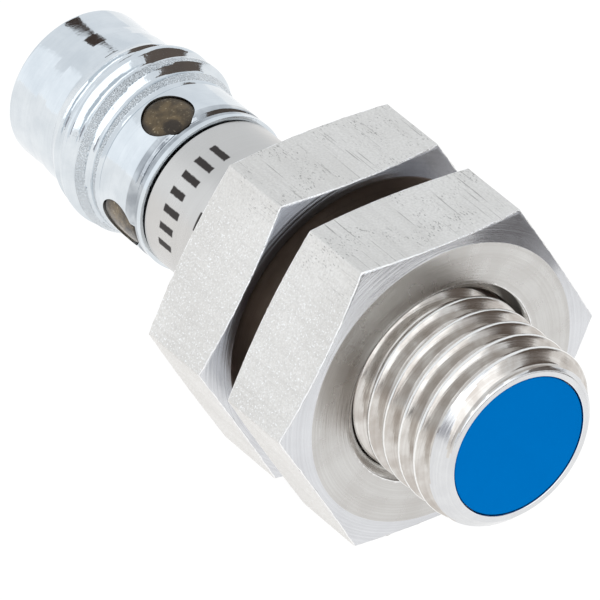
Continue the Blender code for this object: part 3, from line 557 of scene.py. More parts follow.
@dataclass(frozen=True)
class MetalFinish:
    """A worked metal surface; every amount left at nothing leaves its effect out."""

    name: str
    colour: Colour
    shade: Colour
    roughness: float
    roughness_swing: float = 0.05
    anisotropy: float = 0.0
    patch_size: float = 2.0
    patch_tone: float = 0.15
    lathe: Lathe = Lathe.ALONG
    ring_spacing: float = 0.0
    ring_tone: float = 0.0
    ring_height: float = 0.0
    band_tone: float = 0.0
    drawn: float = 0.0
    drawn_bands: float = 0.30
    glint: Colour = (0.97, 0.97, 0.97)
    grain_tone: float = 0.0
    grain_size: float = 0.16
    grain_height: float = 0.0
    pebbles: float = 0.0
    wave: float = 0.0
    # Fans paint shade: dark fans where a turned face's reflection falls dark.
    fans: tuple[float, ...] = ()
    fan_shade_colour: Colour = (0.25, 0.20, 0.17)
    fan_shade_tone: float = 0.35
    groove: tuple[float, ...] = ()
    groove_shadow: Colour = (0.17, 0.185, 0.21)
    worn_colour: Colour = (0.0, 0.0, 0.0)
    marks: bool = False
    ink: Colour = (0.022, 0.016, 0.014)

    def material(self) -> bpy.types.Material:
        """Build the material.

        Returns:
            The material, with its pattern in the frame's millimetres.
        """
        skin = Skin(self.name, self.colour, self.roughness)
        n = skin.n
        skin.put(Metallic=1.0)
        patches = Handling.use(n, Size=self.patch_size)["Patches"]
        skin.tint(patches, self.patch_tone, self.shade)
        skin.roughen(patches, self.roughness_swing)
        if self.ring_spacing:
            self.turn(skin)
        if self.drawn or self.grain_tone:
            self.draw(skin)
        if self.pebbles:
            pebbled = Speckle.use(n)
            skin.lift(n.math("MULTIPLY", pebbled["Pebbles"], pebbled["Band"]), self.pebbles)
            skin.roughen(pebbled["Band"], 0.10)
        if self.wave:
            skin.lift(n.noise(n.place().point, 2.6), self.wave)
        # Painted shade: dark fans where the turned face's reflection falls dark.
        if self.fans:
            first, second, inner, outer = self.fans
            fans = PaintedFanShade.use(n, First=first, Second=second, Inner=inner, Outer=outer)["Fans"]
            skin.tint(fans, self.fan_shade_tone, self.fan_shade_colour)
        if self.groove:
            rear, front = self.groove
            shadow = Speckle.use(n, Rear=rear, Front=front)["Band"]
            skin.tint(shadow, n.math("ADD", 0.22, n.math("MULTIPLY", patches, 0.45)), self.groove_shadow)
        if any(self.worn_colour):
            worn = EdgeWear.use(n)["Worn"]
            skin.tint(worn, 1.0, self.worn_colour)
            skin.roughen(worn, -0.10)
        if self.marks:
            marks = IndexMarks.use(n)["Marks"]
            skin.tint(marks, 1.0, self.ink)
            skin.roughen(marks, 0.3)
            skin.put(Metallic=n.math("SUBTRACT", 1.0, n.math("MULTIPLY", marks, 0.9)))
        if self.anisotropy:
            tangent = n.add("Tangent", {"direction_type": "RADIAL", "axis": "X"})
            skin.put(Anisotropic=self.anisotropy, Tangent=tangent.outputs[0])
        return skin.finish()

    def turn(self, skin: Skin) -> None:
        """Cut the lathe's rings and bands into the skin.

        Args:
            skin: the material in the making.
        """
        n = skin.n
        rings = TurningMarks.use(n, Spacing=self.ring_spacing, Facing=self.lathe.value)
        tone = n.math("ADD", n.math("MULTIPLY", rings["Rings"], self.ring_tone),
                      n.math("MULTIPLY", rings["Bands"], self.band_tone))
        skin.tint(tone, 1.0, self.shade)
        skin.lift(rings["Rings"], self.ring_height)

    def draw(self, skin: Skin) -> None:
        """Lay the drawn bar's grain, scratches, bands and glints on the skin.

        Args:
            skin: the material in the making.
        """
        drawn = DrawnMarks.use(skin.n, Grain=self.grain_size)
        skin.tint(drawn["Grain"], self.grain_tone, self.shade)
        skin.lift(drawn["Grain"], self.grain_height)
        if self.drawn:
            skin.tint(drawn["Scratches"], self.drawn, tuple(0.45 * c for c in self.shade))
            skin.tint(drawn["Bands"], self.drawn_bands, self.shade)
            skin.tint(drawn["Glints"], 1.0, self.glint)
            skin.roughen(drawn["Scratches"], 0.2)
            skin.lift(drawn["Scratches"], -self.drawn)


@dataclass(frozen=True)
class MouldedFinish:
    """A cast, moulded, sintered or printed surface with fine grain and slow colour change."""

    name: str
    colour: Colour
    shade: Colour
    roughness: float
    grain_size: float = 0.08
    grain_height: float = 0.3
    patch_size: float = 1.5
    specular: float = 0.5
    transmission: float = 0.0
    cloud: float = 0.4

    def material(self) -> bpy.types.Material:
        """Build the material.

        Returns:
            The material, with its pattern in the frame's millimetres.
        """
        skin = Skin(self.name, self.colour, self.roughness)
        n = skin.n
        skin.put(Transmission_Weight=self.transmission, Specular_IOR_Level=self.specular)
        patches = Handling.use(n, Size=self.patch_size)["Patches"]
        grain = DrawnMarks.use(n, Grain=self.grain_size)["Grain"]
        skin.tint(n.math("ADD", patches, n.math("MULTIPLY", grain, 0.5)), self.cloud / 1.5, self.shade)
        skin.roughen(grain, 0.08)
        skin.lift(grain, self.grain_height)
        return skin.finish()


@dataclass(frozen=True)
class LensFinish:
    """Brown clear resin of the signal windows, with bright flecks, a dark spot in each window and painted shade round
    its rim.
    """

    name: str = "window_resin"
    light: Colour = (0.170, 0.120, 0.060)
    deep: Colour = (0.022, 0.015, 0.010)
    fleck: Colour = (0.62, 0.52, 0.36)
    roughness: float = 0.22
    cloud_size: float = 0.55
    fleck_size: float = 0.11
    spot_along: float = -21.36
    spot_degrees: float = 22.0
    surface: float = 4.2

    def window_dark_spot(self, n: Nodes) -> Socket:
        """Mark a dark spot in each window, every quarter turn.

        Args:
            n: the material's nodes.

        Returns:
            A mask, 1 where the lamp body shows through.
        """
        at = n.place()
        turn = n.math("MULTIPLY", n.math("SUBTRACT", at.turn, math.radians(self.spot_degrees)), 4.0)
        sideways = n.math("MULTIPLY", n.math("SUBTRACT", 1.0, n.math("COSINE", turn)), self.surface**2 / 8)
        along = n.math("SUBTRACT", at.along, self.spot_along)
        away = n.math("SQRT", n.math("ADD", sideways, n.math("MULTIPLY", along, along)))
        ragged = n.math("MULTIPLY", n.noise(at.point, 3.0), 0.3)
        return n.remap(n.math("ADD", away, ragged), 0.52, 0.68, 1.0, 0.0)

    def material(self) -> bpy.types.Material:
        """Build the material.

        Returns:
            The material of the windows and of the ring behind them.
        """
        skin = Skin(self.name, self.light, self.roughness)
        n = skin.n
        skin.put(Coat_Weight=0.15, Coat_Roughness=0.08, Specular_IOR_Level=0.25)
        cloud = Handling.use(n, Size=self.cloud_size)["Patches"]
        dust = DrawnMarks.use(n, Grain=self.fleck_size)["Grain"]
        skin.tint(cloud, 0.75, self.deep)
        # Painted shade round each window's rim, darker towards the rim where the plug sits in its hole.
        skin.tint(n.add("Attribute", {"attribute_name": "edge"}).outputs["Fac"], 0.8, self.deep)
        skin.tint(self.window_dark_spot(n), 0.85, self.deep)
        flecks = n.math("MULTIPLY", n.remap(dust, 0.80, 0.95), n.math("SUBTRACT", 1.0, cloud))
        skin.tint(flecks, 0.55, self.fleck)
        skin.roughen(cloud, 0.15)
        skin.height = cloud
        return skin.finish(0.012 * MM, 0.6)


Finish = MetalFinish | MouldedFinish | LensFinish


class Finishes:
    """Every finish of the sensor, each made into a material once."""

    sleeve = MetalFinish("turned_sleeve_steel", (0.63, 0.62, 0.605), (0.50, 0.485, 0.47), 0.26,
                         anisotropy=0.45, ring_spacing=0.045, ring_tone=0.16, ring_height=0.10, band_tone=0.06,
                         patch_size=2.5, patch_tone=0.25, marks=True)
    thread = MetalFinish("rolled_thread_steel", (0.73, 0.71, 0.68), (0.30, 0.235, 0.19), 0.13,
                         roughness_swing=0.08, anisotropy=0.3, ring_spacing=0.04, ring_tone=0.20, ring_height=0.10,
                         patch_size=0.8, patch_tone=0.40, worn_colour=(0.90, 0.89, 0.87))
    rim = MetalFinish("turned_rim_steel", (0.76, 0.765, 0.77), (0.54, 0.54, 0.56), 0.16,
                      anisotropy=0.5, ring_spacing=0.04, ring_tone=0.25, ring_height=0.16, band_tone=0.05,
                      patch_size=0.9, patch_tone=0.25, worn_colour=(0.92, 0.92, 0.92))
    flats = MetalFinish("drawn_hexagon_steel", (0.825, 0.807, 0.780), (0.61, 0.592, 0.565), 0.32,
                        roughness_swing=0.08, drawn=0.70, grain_tone=0.55, grain_size=0.10, grain_height=0.85,
                        patch_size=3.0, patch_tone=0.25, worn_colour=(0.95, 0.95, 0.95))
    # The face's and the corner's fans are painted shade where the turned surface's reflection falls dark.
    face = MetalFinish("turned_nut_face_steel", (0.67, 0.665, 0.65), (0.46, 0.435, 0.41), 0.24,
                       anisotropy=0.75, lathe=Lathe.ACROSS, ring_spacing=0.05, ring_tone=0.22, ring_height=0.22,
                       band_tone=0.20, patch_size=1.6, patch_tone=0.28, worn_colour=(0.90, 0.90, 0.90),
                       fans=(92.0, 166.0, 4.4, 6.0))
    # Painted shade: a dark brown copy of the nut face finish for the two faces that meet across the gap between the
    # nuts.
    gap_shade_face = MetalFinish("gap_shade_nut_face_steel", (0.38, 0.325, 0.29), (0.23, 0.185, 0.16), 0.28,
                           anisotropy=0.6, lathe=Lathe.ACROSS, ring_spacing=0.05, ring_tone=0.25, ring_height=0.2,
                           patch_size=1.2, patch_tone=0.5)
    corner = MetalFinish("turned_corner_steel", (0.73, 0.74, 0.76), (0.50, 0.50, 0.52), 0.22,
                         anisotropy=0.7, lathe=Lathe.ACROSS, ring_spacing=0.06, ring_tone=0.28, ring_height=0.22,
                         patch_size=1.5, patch_tone=0.2, worn_colour=(0.95, 0.95, 0.95),
                         fans=(60.0, 52.0, 7.2, 9.5), fan_shade_colour=(0.24, 0.24, 0.26), fan_shade_tone=0.75)
    bore = MetalFinish("threaded_bore_steel", (0.50, 0.44, 0.40), (0.25, 0.20, 0.17), 0.32,
                       ring_spacing=0.05, ring_tone=0.3, ring_height=0.15)
    plating = MetalFinish("bright_nickel_plating", (0.745, 0.785, 0.815), (0.52, 0.570, 0.615), 0.06,
                          roughness_swing=0.06, anisotropy=0.2, ring_spacing=0.06, ring_tone=0.12, ring_height=0.08,
                          patch_size=1.1, patch_tone=0.40, pebbles=7.0, wave=0.8, groove=(-21.42, -20.58))
    cap = MouldedFinish("matte_blue_plastic", (0.0, 0.158, 0.500), (0.0, 0.140, 0.455), 0.60,
                        grain_size=0.05, grain_height=0.12, specular=0.0, cloud=0.25)
    window = LensFinish()
    gold = MetalFinish("gold_plated_contact", (0.86, 0.64, 0.28), (0.72, 0.50, 0.20), 0.16,
                       ring_spacing=0.05, ring_tone=0.2, ring_height=0.06, patch_size=0.7)

    inner: dict[str, Finish] = {
        "shield_brass": MetalFinish("drawn_brass", (0.72, 0.55, 0.26), (0.52, 0.38, 0.16), 0.28, drawn=0.3,
                                    grain_tone=0.2),
        "ferrite": MouldedFinish("sintered_ferrite", (0.055, 0.055, 0.060), (0.030, 0.030, 0.034), 0.60,
                                 grain_height=0.6),
        "dark_nylon": MouldedFinish("moulded_nylon", (0.034, 0.034, 0.038), (0.020, 0.020, 0.024), 0.50),
        "enamelled_copper": MetalFinish("enamelled_copper_wire", (0.66, 0.27, 0.11), (0.42, 0.15, 0.06), 0.26,
                                        ring_spacing=0.12, ring_tone=0.5, ring_height=0.6),
        "board_laminate": MouldedFinish("green_solder_mask", (0.015, 0.13, 0.045), (0.02, 0.19, 0.07), 0.40),
        "chip_epoxy": MouldedFinish("chip_epoxy", (0.022, 0.022, 0.024), (0.035, 0.035, 0.037), 0.50),
        "capacitor_ceramic": MouldedFinish("fired_ceramic", (0.46, 0.33, 0.20), (0.36, 0.25, 0.15), 0.40),
        "resistor_film": MouldedFinish("glazed_film", (0.030, 0.034, 0.05), (0.05, 0.055, 0.08), 0.30),
        "led_resin": MouldedFinish("yellow_led_resin", (0.78, 0.56, 0.20), (0.62, 0.40, 0.12), 0.20,
                                   transmission=0.4),
        "insulating_film": MouldedFinish("amber_film", (0.62, 0.50, 0.26), (0.50, 0.38, 0.18), 0.35),
        "casting_resin": MouldedFinish("black_casting_resin", (0.040, 0.040, 0.046), (0.025, 0.025, 0.030), 0.35),
        "seal_rubber": MouldedFinish("black_rubber", (0.022, 0.022, 0.023), (0.035, 0.035, 0.036), 0.70),
        "tinned_wire": MetalFinish("tinned_copper_wire", (0.74, 0.74, 0.76), (0.55, 0.55, 0.58), 0.28,
                                   patch_size=0.4),
    }

    made: dict[str, bpy.types.Material] = {}

    @classmethod
    def material(cls, finish: Finish) -> bpy.types.Material:
        """Give the one material of a finish.

        Args:
            finish: the finish.

        Returns:
            Its material, made the first time.
        """
        if finish.name not in cls.made:
            cls.made[finish.name] = finish.material()
        return cls.made[finish.name]


# ---------------------------------------------------------------------------------------------------------
# Mesh helpers
# ---------------------------------------------------------------------------------------------------------


def eased(corners: Outline, steps: int = 4, closed: bool = True) -> Profile:
    """Round the corners of an outline.

    Args:
        corners: (x, radius, ease) of each corner, with ease the radius of its rounding.
        steps: pieces in each rounding.
        closed: whether the last corner joins the first.

    Returns:
        The (x, radius) points in the same order.
    """
    points: Profile = []
    count = len(corners)
    for number, (x, radius, ease) in enumerate(corners):
        if ease <= 0 or (not closed and number in (0, count - 1)):
            points.append((x, radius))
            continue
        here = np.array((x, radius))
        before = np.array(corners[number - 1][:2]) - here
        after = np.array(corners[(number + 1) % count][:2]) - here
        reach = min(np.linalg.norm(before), np.linalg.norm(after)) * 0.49
        before, after = before / np.linalg.norm(before), after / np.linalg.norm(after)
        half = math.acos(max(-1.0, min(1.0, float(before @ after)))) / 2
        back = min(ease / max(math.tan(half), 0.05), reach)
        start, end = here + before * back, here + after * back
        for step in range(steps + 1):
            share = step / steps
            first, second = start + (here - start) * share, here + (end - here) * share
            points.append(tuple(first + (second - first) * share))
    return points


@dataclass(frozen=True)
class Thread:
    """A right-handed screw thread round the X axis with a rounded floor and rounded crests."""

    crest_radius: float
    root_radius: float
    phase: float
    root_flat: float
    crest_flat: float
    rounding: float
    pitch: float = PITCH

    def radius(self, x: np.ndarray, angle: np.ndarray) -> np.ndarray:
        """Radius of the thread's surface.

        Args:
            x: places along the axis.
            angle: angles from +Y towards +Z.

        Returns:
            The radius at each place.
        """
        samples = np.linspace(0.0, 1.0, 512, endpoint=False)
        away = np.abs((samples + 0.5) % 1.0 - 0.5) * self.pitch
        root_half, crest_from = self.root_flat / 2, (self.pitch - self.crest_flat) / 2
        share = np.clip((away - root_half) / (crest_from - root_half), 0.0, 1.0)
        spread = np.exp(-0.5 * (np.minimum(samples, 1 - samples) * self.pitch / self.rounding) ** 2)
        smooth = np.real(np.fft.ifft(np.fft.fft(share) * np.fft.fft(spread / spread.sum())))
        smooth = (smooth - smooth.min()) / (smooth.max() - smooth.min())
        heights = self.root_radius + (self.crest_radius - self.root_radius) * smooth
        turn = ((x - self.phase) / self.pitch - angle / math.tau) % 1.0
        return np.interp(turn, samples, heights, period=1.0)


class Form:
    """A mesh in the making: points, faces, and the finish number of each face."""

    def __init__(self, name: str) -> None:
        """Start an empty form.

        Args:
            name: the piece's name.
        """
        self.name = name
        self.points: list[np.ndarray] = []
        self.count = 0
        self.faces: list[tuple[int, ...]] = []
        self.numbers: list[int] = []
        self.marks: dict[str, list[np.ndarray]] = {"edge": [], "blank": []}

    def put_points(self, points: np.ndarray, edge: np.ndarray | float = 0.0,
                   blank: np.ndarray | float = 0.0) -> np.ndarray:
        """Add points.

        Args:
            points: rows of x, y, z.
            edge: how worn each is.
            blank: whether each lies on the uncut blank.

        Returns:
            Their numbers.
        """
        numbers = np.arange(self.count, self.count + len(points))
        self.points.append(points)
        self.marks["edge"].append(np.broadcast_to(edge, len(points)).astype(np.float32))
        self.marks["blank"].append(np.broadcast_to(blank, len(points)).astype(np.float32))
        self.count += len(points)
        return numbers

    def ring(self, x: float | np.ndarray, radius: float | np.ndarray, angles: np.ndarray,
             edge: np.ndarray | float = 0.0, blank: np.ndarray | float = 1.0) -> np.ndarray:
        """Add one ring of points round the axis.

        Args:
            x: its place along the axis.
            radius: its radius.
            angles: the points' angles.
            edge: how worn each is.
            blank: whether each lies on the uncut blank.

        Returns:
            Their numbers.
        """
        x, radius = np.broadcast_to(x, len(angles)), np.broadcast_to(radius, len(angles))
        return self.put_points(np.column_stack((x, radius * np.cos(angles), radius * np.sin(angles))), edge, blank)

    def face(self, corners: tuple[int, ...], number: int = 0) -> None:
        """Add a face, leaving out corners that fall together.

        Args:
            corners: its points' numbers in order.
            number: its finish number.
        """
        kept = [c for place, c in enumerate(corners) if c != corners[place - 1]]
        if len(set(kept)) >= 3:
            self.faces.append(tuple(int(c) for c in dict.fromkeys(kept)))
            self.numbers.append(number)

    def join(self, first: np.ndarray, second: np.ndarray, number: int = 0) -> None:
        """Join two rings of the same count with four-sided faces.

        Args:
            first: one ring's numbers.
            second: the other's.
            number: the faces' finish number.
        """
        count = len(first)
        for place in range(count):
            after = (place + 1) % count
            self.face((first[place], first[after], second[after], second[place]), number)

    def close(self, ring: np.ndarray, x: float, number: int = 0) -> None:
        """Close a ring with a fan to a point on the axis.

        Args:
            ring: the ring's numbers.
            x: the point's place on the axis.
            number: the faces' finish number.
        """
        pole = self.put_points(np.array([(x, 0.0, 0.0)]))[0]
        for place in range(len(ring)):
            self.face((ring[place], ring[(place + 1) % len(ring)], pole), number)

    def turned(self, outline: Profile, steps: int, closed: bool = True) -> None:
        """Turn an outline about the axis.

        Args:
            outline: (x, radius) points; an open one is closed on the axis at both ends.
            steps: points in each ring.
            closed: whether the last point joins the first.
        """
        angles = np.arange(steps) * math.tau / steps
        rings = [self.ring(x, radius, angles) for x, radius in outline if radius > 1e-9]
        for first, second in zip(rings, rings[1:] + (rings[:1] if closed else [])):
            self.join(first, second)
        if not closed:
            self.close(rings[0], outline[0][0])
            self.close(rings[-1], outline[-1][0])

    def chained(self, before: np.ndarray, outline: Profile, angles: np.ndarray) -> np.ndarray:
        """Go on from a ring along an outline.

        Args:
            before: the ring's numbers.
            outline: (x, radius) of each ring that follows.
            angles: the points' angles.

        Returns:
            The last ring's numbers.
        """
        for x, radius in outline:
            ring = self.ring(x, radius, angles)
            self.join(before, ring)
            before = ring
        return before

    def threaded(self, thread: Thread, blank: Profile, rear_x: float, front_x: float, steps: int, rows: int,
                 number: int = 0, skin_number: int = 0) -> tuple[np.ndarray, np.ndarray]:
        """Add a threaded length whose rows follow the helix.

        Args:
            thread: the thread.
            blank: (x, radius) points of the uncut blank.
            rear_x: where the length starts.
            front_x: where it ends.
            steps: points round one turn.
            rows: rows in one pitch.
            number: finish number of the cut thread.
            skin_number: finish number of the uncut blank.

        Returns:
            The numbers of the rear ring's and the front ring's points.
        """
        angles = np.arange(steps) * math.tau / steps
        places = sorted(blank)
        xs, radii = np.array([p[0] for p in places]), np.array([p[1] for p in places])
        worn_depth = 0.05 * MM
        # Each column of the grid starts a little later along the helix, so the last joins the first one pitch on.
        step = thread.pitch / rows
        start = rear_x - thread.pitch - step
        count = int(math.ceil((front_x - start + thread.pitch) / step)) + 2
        grid_x = start + step * np.arange(count)[None, :] + thread.pitch * (np.arange(steps) / steps)[:, None]
        grid_a = np.broadcast_to(angles[:, None], grid_x.shape)

        def surface(x: np.ndarray, angle: np.ndarray) -> tuple[np.ndarray, np.ndarray, np.ndarray]:
            """Find the surface where the thread cuts into the blank.

            Args:
                x: places along the axis.
                angle: angles round it.

            Returns:
                The radius, the wear of the crests, and 1 where the blank is uncut.
            """
            whole, cut = np.interp(x, xs, radii), thread.radius(x, angle)
            radius = np.minimum(whole, cut)
            crest = np.clip((radius - thread.crest_radius + worn_depth) / worn_depth, 0.0, 1.0)
            return radius, crest, (cut >= whole - 1e-9).astype(float)

        ends = []
        for x in (rear_x, front_x):
            radius, _, skin = surface(np.full(steps, x), angles)
            ends.append(self.ring(x, radius, angles, 0.0, skin))
        rear, front = ends
        inner = (grid_x > rear_x + 0.3 * step) & (grid_x < front_x - 0.3 * step)
        radius, crest, skin = surface(grid_x[inner], grid_a[inner])
        numbers = self.put_points(np.column_stack((grid_x[inner], radius * np.cos(grid_a[inner]),
                                                   radius * np.sin(grid_a[inner]))), crest, skin)
        # What falls outside the length shrinks to its end rings, and face() leaves the shrunken faces out.
        ids = np.where(grid_x <= rear_x + 0.3 * step, rear[:, None], front[:, None])
        ids[inner] = numbers
        skins = np.ones(ids.shape)
        skins[inner] = skin
        for column in range(steps):
            after, shift = (column + 1, 0) if column < steps - 1 else (0, rows)
            here, there = ids[column], ids[after]
            for row in range(count - 1):
                low, high = min(row + shift, count - 1), min(row + 1 + shift, count - 1)
                corners = (here[row], here[row + 1], there[high], there[low])
                if len(set(corners)) >= 3:
                    plain = skins[column, row] and skins[column, row + 1]
                    self.face(corners, skin_number if plain else number)
        return rear, front

    def finish(self, materials: list[bpy.types.Material], sharp: float = 32.0) -> bpy.types.Object:
        """Make the object.

        Args:
            materials: the finishes by number.
            sharp: the angle in degrees over which an edge stays sharp.

        Returns:
            The piece, in the scene.
        """
        mesh = bpy.data.meshes.new(self.name)
        mesh.from_pydata(np.vstack(self.points).tolist(), [], self.faces)
        for material in materials:
            mesh.materials.append(material)
        mesh.polygons.foreach_set("material_index", np.array(self.numbers, np.int32))
        for name, values in self.marks.items():
            mesh.attributes.new(name, "FLOAT", "POINT").data.foreach_set("value", np.concatenate(values))
        mesh.update()
        tidy(mesh, sharp)
        return link(self.name, mesh)


def tidy(mesh: bpy.types.Mesh, sharp: float) -> None:
    """Drop loose points, turn every face outwards and shade the round sides smooth.

    Args:
        mesh: the mesh.
        sharp: the angle in degrees over which an edge stays sharp.
    """
    bm = bmesh.new()
    bm.from_mesh(mesh)
    bmesh.ops.delete(bm, geom=[v for v in bm.verts if not v.link_faces], context="VERTS")
    bmesh.ops.recalc_face_normals(bm, faces=bm.faces)
    bm.to_mesh(mesh)
    bm.free()
    mesh.shade_smooth()
    mesh.set_sharp_from_angle(angle=math.radians(sharp))


def place_piece(obj: bpy.types.Object, body: Body, slot: str, *nodes: str) -> None:
    """Seat a finished piece and report it.

    Args:
        obj: the piece.
        body: the body that it rides on.
        slot: not used.
        nodes: the frame nodes that it stands for.
    """
    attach(obj, body.value)
    if nodes:
        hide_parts(*nodes)
    LOG.info("%s: %d faces, rides on %s", obj.name, len(obj.data.polygons), body.value)


def link(name: str, data: bpy.types.ID) -> bpy.types.Object:
    """Put a mesh, light or camera into the scene.

    Args:
        name: the object's name.
        data: the mesh, light or camera.

    Returns:
        Its object.
    """
    obj = bpy.data.objects.new(name, data)
    bpy.context.scene.collection.objects.link(obj)
    return obj


def around(x: float, radius: float, angle: float) -> Vector:
    """A point at an angle round the axis, counted from +Y towards +Z."""
    return Vector((x, radius * math.cos(angle), radius * math.sin(angle)))


# ---------------------------------------------------------------------------------------------------------
# Sub-assemblies
# ---------------------------------------------------------------------------------------------------------


@dataclass
class ThreadedSleeve:
    """Steel sleeve: chamfered rim, long fine thread and plain rear body."""

    steps: int = 192
    rows: int = 24
    thread_radius: float = 3.95 * MM
    root_radius: float = 3.40 * MM
    rim_chamfer: float = 0.63 * MM
    rim_wall: float = 0.25 * MM
    rim_ease: float = 0.02 * MM
    rim_depth: float = 0.5 * MM
    seat_depth: float = 0.83 * MM
    bore_radius: float = 2.85 * MM
    body_radius: float = 3.355 * MM
    thread_length: float = 13.8 * MM
    groove_phase: float = -1.43 * MM
    rear_chamfer: float = 0.06 * MM

    def build(self) -> bpy.types.Object:
        """Make the sleeve.

        Returns:
            The piece, not yet riding on its body.
        """
        low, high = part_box("threaded_sleeve")
        front, rear = high.x, low.x
        rim_radius = self.thread_radius - self.rim_chamfer
        run_out = self.thread_radius - self.body_radius
        cone_rear = -self.thread_length - run_out
        helix_rear = cone_rear - 0.15 * MM
        blank = eased([
            (front, rim_radius, 0.0),
            (front - self.rim_chamfer, self.thread_radius, 0.06 * MM),
            (-self.thread_length, self.thread_radius, 0.05 * MM),
            (cone_rear, self.body_radius, 0.04 * MM),
            (helix_rear, self.body_radius, 0.0),
        ], closed=False)
        thread = Thread(self.thread_radius, self.root_radius, self.groove_phase, root_flat=0.21 * MM,
                        crest_flat=0.15 * MM, rounding=0.033 * MM)
        form = Form("turned_sleeve")
        angles = np.arange(self.steps) * math.tau / self.steps
        rear_ring, front_ring = form.threaded(thread, blank, helix_rear, front - self.rim_ease, self.steps, self.rows,
                                              SleeveSkin.THREAD, SleeveSkin.RIM)
        rest = eased([
            (rear + self.rear_chamfer, self.body_radius, 0.02 * MM),
            (rear, self.body_radius - self.rear_chamfer, 0.02 * MM),
            (rear, self.bore_radius, 0.0),
            (front - self.seat_depth, self.bore_radius, 0.0),
            (front - self.seat_depth, rim_radius - self.rim_wall, 0.0),
            (front, rim_radius - self.rim_wall, 0.03 * MM),
            (front, rim_radius - self.rim_ease, 0.0),
        ])
        side = np.linspace(helix_rear, rear + 0.1 * MM, 8)[1:]
        before = form.chained(rear_ring, [(float(x), self.body_radius) for x in side], angles)
        for x, radius in rest:
            ring = form.ring(x, radius, angles, 0.8 if front - self.rim_ease < x < front else 0.0)
            form.join(before, ring, SleeveSkin.RIM if x > front - self.rim_depth else SleeveSkin.BODY)
            before = ring
        form.join(before, front_ring, SleeveSkin.RIM)
        materials = [Finishes.material(f) for f in (Finishes.sleeve, Finishes.thread, Finishes.rim)]
        return form.finish(materials, 38.0)

    def dress(self) -> None:
        """Build the sleeve and seat it."""
        place_piece(self.build(), Body.SENSOR, "sleeve_steel", "threaded_sleeve")


@dataclass
class SensingCap:
    """Blue plastic cap, a hair behind the rim and a thin dark gap inside it."""

    edge: float = 0.05 * MM
    wall: float = 0.30 * MM
    face_thickness: float = 0.75 * MM
    skirt_radius: float = 2.80 * MM

    def dress(self) -> None:
        """Build the cap and seat it."""
        low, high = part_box("sensing_cap")
        front, rear, radius = high.x, low.x, high.y
        back = front - self.face_thickness
        corners = [
            (front, 0.0, 0.0),
            (front, radius * 0.5, 0.0),
            (front, radius * 0.9, 0.0),
            (front, radius, self.edge),
            (back, radius, 0.02 * MM),
            (back, self.skirt_radius, 0.0),
            (rear, self.skirt_radius, 0.03 * MM),
            (rear, self.skirt_radius - self.wall, 0.03 * MM),
            (back - self.edge, self.skirt_radius - self.wall, 0.0),
            (back - self.edge, 0.0, 0.0),
        ]
        form = Form("blue_sensing_face")
        form.turned(eased(corners, closed=False), 160, closed=False)
        obj = form.finish([Finishes.material(Finishes.cap)])
        place_piece(obj, Body.SENSOR, "cap_plastic", "sensing_cap")


